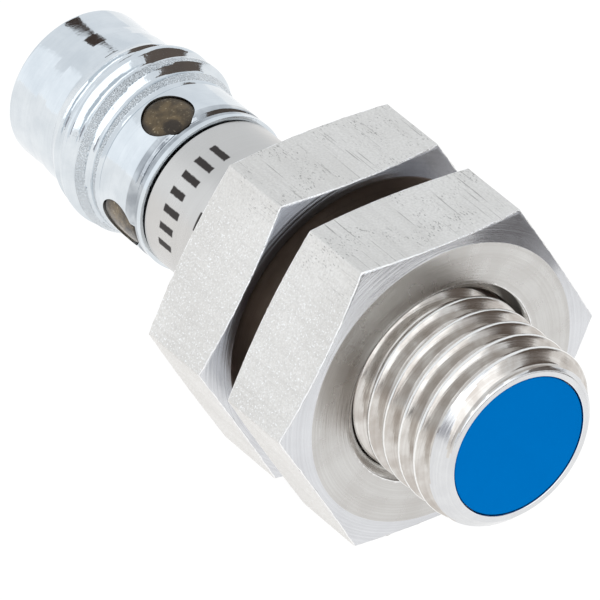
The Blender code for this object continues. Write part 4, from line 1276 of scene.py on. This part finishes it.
@dataclass
class HexagonNut:
    """Hexagon nut: drawn flats, turned corners and faces, countersunk bore with its thread inside."""

    node: str
    body: Body
    inner_side: int
    seed: float
    corner_ease: float = 0.07 * MM
    face_inset: float = 0.33 * MM
    corner_drop: float = 0.305 * MM
    bore_radius: float = 4.0 * MM
    countersink: float = 0.38 * MM
    thread_depth: float = 0.30 * MM
    dish: float = 0.012 * MM
    burr: float = 0.010 * MM
    thread_fade: float = 0.12 * MM
    bore_rings: int = 60

    def flat_distance(self, angles: np.ndarray, across: float) -> np.ndarray:
        """Find how far the hexagon's side is from the axis, with its corners eased.

        Args:
            angles: angles round the axis.
            across: the width across the flats.

        Returns:
            The distance at each angle.
        """
        turn = (angles + math.pi / 6) % (math.pi / 3) - math.pi / 6
        plain = across / 2 / np.cos(math.pi / 6 - np.abs(turn))
        centre = (across / 2 - self.corner_ease) / math.cos(math.pi / 6)
        inner = self.corner_ease**2 - (centre * np.sin(turn)) ** 2
        arc = centre * np.cos(turn) + np.sqrt(np.maximum(inner, 0.0))
        touch = math.atan2(self.corner_ease / 2, centre + self.corner_ease * math.cos(math.pi / 6))
        return np.where(np.abs(turn) < touch, arc, plain)

    def columns(self) -> np.ndarray:
        """Choose the mesh's columns, closer together at the six corners.

        Returns:
            Their angles.
        """
        half = [0.0, 0.09, 0.18, 0.27, 0.36, 0.6, 1.1, 1.8, *np.linspace(3.0, 30.0, 19)]
        sector = np.array(sorted(set(half) | {60.0 - a for a in half}))[:-1]
        return np.radians(np.concatenate([sector + 60.0 * number for number in range(6)]))

    def build(self) -> bpy.types.Object:
        """Make the nut.

        Returns:
            The piece, not yet riding on its body.
        """
        low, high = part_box(self.node)
        across = high.z - low.z
        thickness = high.x - low.x
        middle = (high.x + low.x) / 2
        angles = self.columns()
        sides = self.flat_distance(angles, across)
        face_radius = across / 2 - self.face_inset
        corner_radius = across / math.sqrt(3)
        slope = self.corner_drop / (corner_radius - face_radius)
        ragged = self.burr * (np.sin(31 * angles + self.seed) + np.sin(57 * angles + 2.1 * self.seed)
                              + 0.8 * np.sin(113 * angles + 0.7))
        form = Form(self.node + "_hexagon")
        thread = Thread(self.bore_radius + self.thread_depth, self.bore_radius, middle, root_flat=0.16 * MM,
                        crest_flat=0.16 * MM, rounding=0.03 * MM)

        def half(side: int) -> tuple[list[np.ndarray], list[int]]:
            """Make the rings of one half, from its countersink out to its flat.

            Args:
                side: 1 for the front half, -1 for the rear.

            Returns:
                The rings, and the finish number of the step up to each.
            """
            rings, numbers = [], []
            end = thickness / 2
            # The face towards the other nut takes the painted-shade copy of the face finish.
            face = NutSkin.GAP_SHADE_FACE if side == self.inner_side else NutSkin.FACE

            def add(back: float | np.ndarray, radius: float | np.ndarray, number: int,
                    edge: float | np.ndarray = 0.0) -> None:
                """Add a ring at a distance behind this side's face."""
                rings.append(form.ring(middle + side * (end - back), radius, angles, edge))
                numbers.append(number)

            # The steps of a few hundredths of a millimetre ease the edges and carry their wear.
            sink = self.bore_radius + self.countersink
            add(self.countersink, self.bore_radius, NutSkin.BORE)
            add(self.countersink * 0.5, self.bore_radius + self.countersink * 0.5, face)
            add(0.035 * MM, sink - 0.035 * MM, face, 0.6)
            add(0.010 * MM, sink - 0.006 * MM, face, 1.0)
            add(0.0, sink + 0.030 * MM, face, 0.5)
            for share in (0.1, 0.25, 0.4, 0.55, 0.7, 0.85):
                radius = sink + (face_radius - sink) * share
                add(self.dish * math.sin(math.pi * share), radius, face)
            add(0.0, face_radius - 0.05 * MM, face)
            add(0.004 * MM, face_radius - 0.01 * MM, face, 0.35)
            inner = face_radius + 0.03 * MM
            add(0.014 * MM, inner, NutSkin.CORNER, 0.2)
            for share in (0.3, 0.6, 0.85):
                radius = inner + (sides - inner) * share
                add(slope * (radius - face_radius), radius, NutSkin.CORNER)
            reach = np.maximum(sides - 0.045 * MM + ragged, inner + 0.001 * MM)
            add(slope * (reach - face_radius), reach, NutSkin.CORNER, 0.45)
            drop = slope * (sides - face_radius)
            add(drop + 0.012 * MM, sides - 0.010 * MM, NutSkin.FLAT, 0.9)
            add(drop + 0.040 * MM + 1.5 * ragged, sides, NutSkin.FLAT, 0.35)
            add(drop + 0.120 * MM, sides, NutSkin.FLAT)
            return rings, numbers

        front_rings, front_numbers = half(1)
        rear_rings, rear_numbers = half(-1)
        flat = [form.ring(middle + share * thickness, sides, angles) for share in (0.25, 0.0, -0.25)]
        bore_half = thickness / 2 - self.countersink
        bore = []
        for x in np.linspace(-bore_half, bore_half, self.bore_rings)[1:-1]:
            fade = min(1.0, (bore_half - abs(x)) / self.thread_fade)
            radius = thread.radius(np.full(len(angles), middle + x), angles)
            bore.append(form.ring(middle + x, self.bore_radius + (radius - self.bore_radius) * fade, angles))
        outer = front_rings + flat + rear_rings[::-1]
        numbers = front_numbers[1:] + [NutSkin.FLAT] * (len(flat) + 1) + rear_numbers[:0:-1]
        for number, first, second in zip(numbers, outer, outer[1:]):
            form.join(first, second, number)
        inner_rings = [rear_rings[0], *bore, front_rings[0]]
        for first, second in zip(inner_rings, inner_rings[1:]):
            form.join(first, second, NutSkin.BORE)
        materials = [Finishes.material(f)
                     for f in (Finishes.flats, Finishes.face, Finishes.corner, Finishes.bore, Finishes.gap_shade_face)]
        return form.finish(materials, 30.0)

    def dress(self) -> None:
        """Build the nut and seat it."""
        place_piece(self.build(), self.body, "nut_steel", self.node)


@dataclass
class ConnectorShell:
    """Bright plated plug shell: lip, vee groove, window band, coarse-skinned plug thread, open socket."""

    steps: int = 192
    rows: int = 24
    radius: float = 3.49 * MM
    spigot_radius: float = 2.80 * MM
    spigot_bore: float = 2.30 * MM
    seam_x: float = -20.39 * MM
    lip_length: float = 0.38 * MM
    vee_width: float = 0.34 * MM
    vee_depth: float = 0.24 * MM
    band_length: float = 2.06 * MM
    undercut: float = 0.09 * MM
    undercut_width: float = 0.26 * MM
    taper: float = 1.06 * MM
    land: float = 1.05 * MM
    thread_radius: float = 3.97 * MM
    thread_root: float = 3.535 * MM
    thread_phase: float = -25.19 * MM
    collar_length: float = 0.90 * MM
    step_length: float = 0.70 * MM
    barrel_radius: float = 3.41 * MM
    rim_rounding: float = 0.22 * MM
    socket_radius: float = 2.95 * MM
    mouth_chamfer: float = 0.12 * MM
    window_radius: float = 1.10 * MM
    window_setback: float = 0.92 * MM
    window_angles: tuple[float, ...] = (18.0, 108.0, 198.0, 288.0)
    drill_start: float = 0.4 * MM
    sharp: float = 30.0

    def band_front(self) -> float:
        """Front edge of the band that holds the windows."""
        return self.seam_x - self.lip_length - self.vee_width

    def window_x(self) -> float:
        """Place of the windows' middles along the axis."""
        return self.band_front() - self.window_setback

    def build(self) -> bpy.types.Object:
        """Make the shell with its windows cut.

        Returns:
            The piece, not yet riding on its body.
        """
        low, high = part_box("connector_shell")
        front, rear = high.x, low.x
        band = self.band_front()
        undercut = band - self.band_length
        thread_front = undercut - self.undercut_width
        land_front = thread_front - self.taper
        land_rear = land_front - self.land
        collar = land_rear - self.taper
        helix_front, helix_rear = thread_front + 0.02 * MM, collar - 0.05 * MM
        blank = eased([
            (helix_front, self.radius - 0.012 * MM, 0.0),
            (thread_front, self.radius, 0.03 * MM),
            (land_front, self.thread_radius, 0.05 * MM),
            (land_rear, self.thread_radius, 0.05 * MM),
            (collar, self.radius, 0.04 * MM),
            (helix_rear, self.radius, 0.0),
        ], closed=False)
        thread = Thread(self.thread_radius, self.thread_root, self.thread_phase, root_flat=0.20 * MM,
                        crest_flat=0.22 * MM, rounding=0.028 * MM)
        form = Form("plated_plug_shell")
        angles = np.arange(self.steps) * math.tau / self.steps
        rear_ring, front_ring = form.threaded(thread, blank, helix_rear, helix_front, self.steps, self.rows)
        vee_middle = band + self.vee_width / 2
        ease = 0.025 * MM
        ahead = eased([
            (undercut - self.undercut_width / 2, self.radius - self.undercut, 0.06 * MM),
            (undercut, self.radius, ease),
            (undercut + 0.5 * self.band_length, self.radius, 0.0),
            (band, self.radius, 0.10 * MM),
            (vee_middle, self.radius - self.vee_depth, 0.07 * MM),
            (band + self.vee_width, self.radius, ease),
            (self.seam_x, self.radius, 0.04 * MM),
            (self.seam_x, self.spigot_radius, 0.0),
            (front, self.spigot_radius, 0.05 * MM),
            (front, self.spigot_bore, 0.05 * MM),
            (vee_middle, self.spigot_bore, 0.0),
            (vee_middle, self.socket_radius, 0.0),
            (rear + self.mouth_chamfer, self.socket_radius, 0.02 * MM),
            (rear, self.socket_radius + self.mouth_chamfer, 0.02 * MM),
            (rear, self.barrel_radius, self.rim_rounding),
            (collar - self.collar_length - self.step_length, self.barrel_radius, 0.05 * MM),
            (collar - self.collar_length, self.radius, 0.05 * MM),
            (helix_rear, self.radius, 0.0),
        ], steps=6)[:-1]
        form.join(form.chained(front_ring, ahead, angles), rear_ring)
        shell = form.finish([Finishes.material(Finishes.plating)], self.sharp)
        for number, degrees in enumerate(self.window_angles):
            self.cut_window(shell, number, math.radians(degrees))
        self.round_band(shell.data, undercut, band)
        return shell

    def cut_window(self, shell: bpy.types.Object, number: int, angle: float) -> None:
        """Cut one round window through the wall.

        Args:
            shell: the shell.
            number: the window's number.
            angle: its angle round the axis.
        """
        start = around(self.window_x(), self.socket_radius - self.drill_start, angle)
        end = around(self.window_x(), self.thread_radius, angle)
        along = end - start
        turn = Vector((0, 0, 1)).rotation_difference(along).to_matrix().to_4x4()
        bm = bmesh.new()
        bmesh.ops.create_cone(bm, cap_ends=True, segments=72, radius1=self.window_radius,
                              radius2=self.window_radius, depth=along.length,
                              matrix=Matrix.Translation((start + end) / 2) @ turn)
        mesh = bpy.data.meshes.new(f"window_drill_{number}")
        bm.to_mesh(mesh)
        bm.free()
        drill = link(mesh.name, mesh)
        modifier = shell.modifiers.new("Window", "BOOLEAN")
        modifier.operation = "DIFFERENCE"
        modifier.object = drill
        modifier.solver = "EXACT"
        graph = bpy.context.evaluated_depsgraph_get()
        cut = bpy.data.meshes.new_from_object(shell.evaluated_get(graph))
        shell.modifiers.clear()
        shell.data = cut
        bpy.data.objects.remove(drill)
        cut.shade_smooth()
        cut.set_sharp_from_angle(angle=math.radians(self.sharp))

    def round_band(self, mesh: bpy.types.Mesh, rear: float, front: float) -> None:
        """Give the plain window band the normals of a true cylinder.

        Args:
            mesh: the shell's mesh.
            rear: where the band starts.
            front: where it ends.
        """
        count = len(mesh.loops)
        normals = np.zeros((count, 3), np.float32)
        mesh.corner_normals.foreach_get("vector", normals.ravel())
        points = np.zeros((len(mesh.vertices), 3), np.float32)
        mesh.vertices.foreach_get("co", points.ravel())
        owners = np.zeros(count, np.int32)
        mesh.loops.foreach_get("vertex_index", owners)
        places = points[owners]
        reach = np.hypot(places[:, 1], places[:, 2])
        outward = np.column_stack((np.zeros(count), places[:, 1] / reach, places[:, 2] / reach))
        on_band = (places[:, 0] > rear) & (places[:, 0] < front)
        on_side = (np.abs(reach - self.radius) < 0.004 * MM) & (np.einsum("ij,ij->i", normals, outward) > 0.9)
        plain = on_band & on_side
        normals[plain] = outward[plain]
        mesh.normals_split_custom_set(normals.tolist())

    def dress(self) -> None:
        """Build the shell and seat it."""
        place_piece(self.build(), Body.SENSOR, "bright_plating", "connector_shell")


@dataclass
class SignalWindows:
    """Brown clear ring inside the shell, and its four domed windows."""

    shell: ConnectorShell
    gap: float = 0.03 * MM
    recess: float = 0.05 * MM
    crown: float = 0.035 * MM
    wall: float = 0.45 * MM
    depth: float = 0.6 * MM
    ease: float = 0.03 * MM

    def window(self, number: int, angle: float) -> bpy.types.Object:
        """Make one window plug.

        Args:
            number: its number.
            angle: its angle round the axis.

        Returns:
            The piece.
        """
        outer = self.shell.window_radius - self.gap
        form = Form(f"signal_window_{number}")
        spokes = np.arange(64) * math.tau / 64
        surface = self.shell.radius - self.recess
        middle_x = self.shell.window_x()

        def loop(reach: float, lower: float, edge: float) -> np.ndarray:
            """Add one loop of points on the plug.

            Args:
                reach: its distance from the plug's middle.
                lower: how far it is sunk.
                edge: how near the rim it counts, which sets the painted shade round the rim.

            Returns:
                Its points' numbers.
            """
            away, side = reach * np.cos(spokes), reach * np.sin(spokes)
            share = reach / outer
            height = np.sqrt(surface**2 - side**2) - self.crown * share**2 - lower
            return form.put_points(np.column_stack((middle_x + away,
                                                    height * math.cos(angle) - side * math.sin(angle),
                                                    height * math.sin(angle) + side * math.cos(angle))), edge)

        loops = [loop(outer * share, 0.0, edge)
                 for share, edge in ((0.12, 0), (0.3, 0), (0.5, 0.05), (0.7, 0.2), (0.84, 0.5), (0.93, 0.9))]
        loops += [loop(outer, self.ease, 1.0), loop(outer, self.depth, 1.0)]
        for first, second in zip(loops, loops[1:]):
            form.join(first, second)
        crown = form.put_points(np.array([around(middle_x, surface, angle)]))[0]
        base = form.put_points(np.array([around(middle_x, surface - self.depth, angle)]), 1.0)[0]
        for place in range(len(spokes)):
            after = (place + 1) % len(spokes)
            form.face((loops[0][place], loops[0][after], crown))
            form.face((loops[-1][place], loops[-1][after], base))
        return form.finish([Finishes.material(Finishes.window)], 50.0)

    def dress(self) -> None:
        """Build the ring and its windows and seat them."""
        low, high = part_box("light_ring")
        outer = self.shell.socket_radius - 0.05 * MM
        form = Form("signal_light_ring")
        corners = [(x, radius, self.ease) for x, radius in ((high.x, outer), (low.x, outer),
                                                            (low.x, outer - self.wall), (high.x, outer - self.wall))]
        form.turned(eased(corners), 96)
        ring = form.finish([Finishes.material(Finishes.window)])
        place_piece(ring, Body.SENSOR, "brown_lens", "light_ring")
        for number, degrees in enumerate(self.shell.window_angles):
            window = self.window(number + 1, math.radians(degrees))
            place_piece(window, Body.SENSOR, "brown_lens")


@dataclass
class PlugContacts:
    """The three gold pins, which stand in the insert at the bottom of the socket."""

    nodes: tuple[str, ...] = ("contact_pin_1", "contact_pin_3", "contact_pin_4")
    tip_length: float = 0.40 * MM
    tip_radius: float = 0.16 * MM
    tail_radius: float = 0.25 * MM
    step_inset: float = 0.40 * MM

    def pin(self, node: str, step_x: float) -> bpy.types.Object:
        """Make one pin with a rounded tip.

        Args:
            node: the frame node that it stands for.
            step_x: where the pin steps down to its tail.

        Returns:
            The piece.
        """
        low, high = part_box(node)
        radius = (high.z - low.z) / 2
        corners = [
            (high.x, 0.0, 0.0),
            (high.x, self.tail_radius, 0.04 * MM),
            (step_x, self.tail_radius, 0.0),
            (step_x, radius, 0.05 * MM),
            (low.x + self.tip_length, radius, 0.25 * MM),
            (low.x, self.tip_radius, 0.14 * MM),
            (low.x, 0.0, 0.0),
        ]
        form = Form(node + "_turned")
        form.turned(eased(corners, closed=False), 40, closed=False)
        offset = np.array((0.0, (low.y + high.y) / 2, (low.z + high.z) / 2))
        form.points = [points + offset for points in form.points]
        return form.finish([Finishes.material(Finishes.gold)], 50.0)

    def dress(self) -> None:
        """Build the pins, which step down inside the insert, and seat them."""
        step_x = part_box("contact_carrier")[1].x - self.step_inset
        for node in self.nodes:
            place_piece(self.pin(node, step_x), Body.SENSOR, "gold_plating", node)


class InnerParts:
    """The sealed parts that keep the frame's own shapes: they get their true materials."""

    def dress(self) -> None:
        """Give every node that still shows the finish of its record slot."""
        for part in frame["record"]["subparts"]:
            node = frame["nodes"][part["node"]]
            slot = part["material_slot"]
            if node.hide_render or slot not in Finishes.inner:
                continue
            node.data.materials.clear()
            node.data.materials.append(Finishes.material(Finishes.inner[slot]))
            LOG.info("%s: dressed as %s", part["node"], slot)


# ---------------------------------------------------------------------------------------------------------
# Floor, light and camera
# ---------------------------------------------------------------------------------------------------------


@dataclass
class Studio:
    """White table, soft boxes with dark gaps between them, and the camera."""

    azimuth: float = 53.8201
    elevation: float = 35.3986
    roll: float = 1.1770
    distance: float = 385.0 * MM
    aim: tuple[float, float, float] = (-13.5996 * MM, -0.5585 * MM, -0.9187 * MM)
    lens: float = 589.9
    sensor_width: float = 36.0
    middle: tuple[float, float, float] = (-13.0 * MM, 0.0, 0.0)

    def axes(self) -> tuple[Vector, Vector, Vector]:
        """Find which way the camera is turned.

        Returns:
            Its right, up and backward directions.
        """
        a, e, r = map(math.radians, (self.azimuth, self.elevation, self.roll))
        back = Vector((math.sin(a) * math.cos(e), -math.cos(a) * math.cos(e), math.sin(e)))
        right = Vector((math.cos(a), math.sin(a), 0.0))
        up = back.cross(right)
        return math.cos(r) * right + math.sin(r) * up, math.cos(r) * up - math.sin(r) * right, back

    def camera(self) -> None:
        """Set up the camera at the viewing angle."""
        right, up, back = self.axes()
        data = bpy.data.cameras.new("camera")
        data.lens = self.lens
        data.sensor_width = self.sensor_width
        data.clip_start, data.clip_end = 10 * MM, 5.0
        obj = link("camera", data)
        turn = Matrix((right, up, back)).transposed()
        obj.matrix_world = Matrix.Translation(Vector(self.aim) + back * self.distance) @ turn.to_4x4()
        bpy.context.scene.camera = obj

    def plane(self, name: str, centre: Vector, facing: Vector, size: tuple[float, float],
              material: bpy.types.Material, seen: bool = False) -> None:
        """Put up one flat card or table.

        Args:
            name: its name.
            centre: its middle.
            facing: the way its face points.
            size: its width and height.
            material: its material.
            seen: whether the camera sees it.
        """
        mesh = bpy.data.meshes.new(name)
        w, h = size[0] / 2, size[1] / 2
        mesh.from_pydata([(-w, -h, 0), (w, -h, 0), (w, h, 0), (-w, h, 0)], [], [(0, 1, 2, 3)])
        mesh.materials.append(material)
        obj = link(name, mesh)
        obj.matrix_world = Matrix.Translation(centre) @ facing.to_track_quat("Z", "Y").to_matrix().to_4x4()
        obj.visible_camera = seen
        obj.visible_shadow = False

    def paint(self, name: str, colour: Colour, glow: float) -> bpy.types.Material:
        """Make the plain glowing material of a card or the table.

        Args:
            name: its name.
            colour: its colour.
            glow: how bright it is.

        Returns:
            The material.
        """
        skin = Skin(name, colour, 0.9)
        skin.put(Base_Color=(*(0.1 * c for c in colour), 1.0), Roughness=0.9, Specular_IOR_Level=0.0,
                 Emission_Color=(*colour, 1.0), Emission_Strength=glow)
        return skin.material

    def area(self, name: str, toward: tuple[float, float, float], distance: float, size: tuple[float, float],
             glow: float, colour: Colour = (1.0, 1.0, 1.0)) -> None:
        """Hang one soft box that faces the sensor.

        Args:
            name: its name.
            toward: its direction from the sensor.
            distance: how far away it hangs.
            size: its width and height.
            glow: how bright it is, in the world's measure.
            colour: its colour.
        """
        data = bpy.data.lights.new(name, "AREA")
        data.shape = "RECTANGLE"
        data.size, data.size_y = size
        data.energy = 4.0 * size[0] * size[1] * glow
        data.color = colour
        obj = link(name, data)
        way = Vector(toward).normalized()
        turn = way.to_track_quat("Z", "Y").to_matrix().to_4x4()
        obj.matrix_world = Matrix.Translation(Vector(self.middle) + way * distance) @ turn
        obj.visible_camera = False

    def card(self, name: str, toward: tuple[float, float, float], distance: float, size: tuple[float, float],
             material: bpy.types.Material, middle: tuple[float, float, float]) -> None:
        """Hang one card.

        Args:
            name: its name.
            toward: its direction from the point that it faces.
            distance: how far from there it hangs.
            size: its width and height.
            material: its material.
            middle: the point that it faces.
        """
        way = Vector(toward).normalized()
        self.plane(name, Vector(middle) + way * distance, -way, size, material)

    def dress(self) -> None:
        """Set the table, the white surround, the cards that darken parts of it, the soft boxes and the camera."""
        low = min(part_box("front_nut")[0].z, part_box("rear_nut")[0].z)
        table = self.paint("table_white", (1.0, 1.0, 1.0), 0.96)
        up = Vector((0, 0, 1))
        self.plane("table", Vector((self.middle[0], 0.0, low - 0.02 * MM)), up, (4.0, 4.0), table, seen=True)
        # Behind everything the camera sees pure white; the metal reflects a slightly cooler, dimmer room.
        world = bpy.data.worlds.new("studio")
        world.use_nodes = True
        n = Nodes(world.node_tree)
        background = world.node_tree.nodes["Background"]
        straight = n.add("LightPath").outputs["Is Camera Ray"]
        n.put(background.inputs["Color"], n.blend(straight, (0.885, 0.917, 0.95), (1.06, 1.06, 1.06)))
        background.inputs["Strength"].default_value = 1.0
        bpy.context.scene.world = world
        dark = self.paint("dark_card", (0.055, 0.040, 0.033), 1.0)
        brown = self.paint("brown_card", (0.115, 0.092, 0.078), 1.0)
        grey = self.paint("grey_card", (0.34, 0.34, 0.37), 1.0)
        self.card("overhead_gap", (-0.66, 0.34, 0.67), 30 * MM, (8.4 * MM, 10 * MM), dark, (-36.5 * MM, 0, 3 * MM))
        self.card("right_gap", (0.47, 0.814, 0.364), 250 * MM, (162 * MM, 182 * MM), brown, (-3 * MM, 0, 0))
        self.card("left_gap", (0.70, -0.71, 0.08), 250 * MM, (60 * MM, 70 * MM), grey, (-3 * MM, 0, 0))
        self.plane("front_gap", Vector((105 * MM, 0, low)), up, (120 * MM, 80 * MM), dark)
        self.plane("corner_gap", Vector((23 * MM, 33 * MM, low)), up, (20 * MM, 25 * MM), dark)
        self.area("front_box", (0.88, -0.14, 0.42), 300 * MM, (340 * MM, 270 * MM), 0.55)
        self.area("left_box", (-0.75, -0.62, 0.35), 300 * MM, (150 * MM, 220 * MM), 0.16, (0.97, 0.985, 1.0))
        scene = bpy.context.scene
        scene.view_settings.view_transform = "Standard"
        scene.view_settings.look = "None"
        self.camera()


def main() -> None:
    """Build every sub-assembly, then the studio."""
    logging.basicConfig(level=logging.INFO, format="%(name)s %(message)s")
    shell = ConnectorShell()
    pieces = [
        ThreadedSleeve(),
        SensingCap(),
        HexagonNut("front_nut", Body.FRONT_NUT, -1, 0.4),
        HexagonNut("rear_nut", Body.REAR_NUT, 1, 2.3),
        shell,
        SignalWindows(shell),
        PlugContacts(),
        InnerParts(),
    ]
    for piece in pieces:
        piece.dress()
    Studio().dress()


if __name__ == "__main__":
    main()
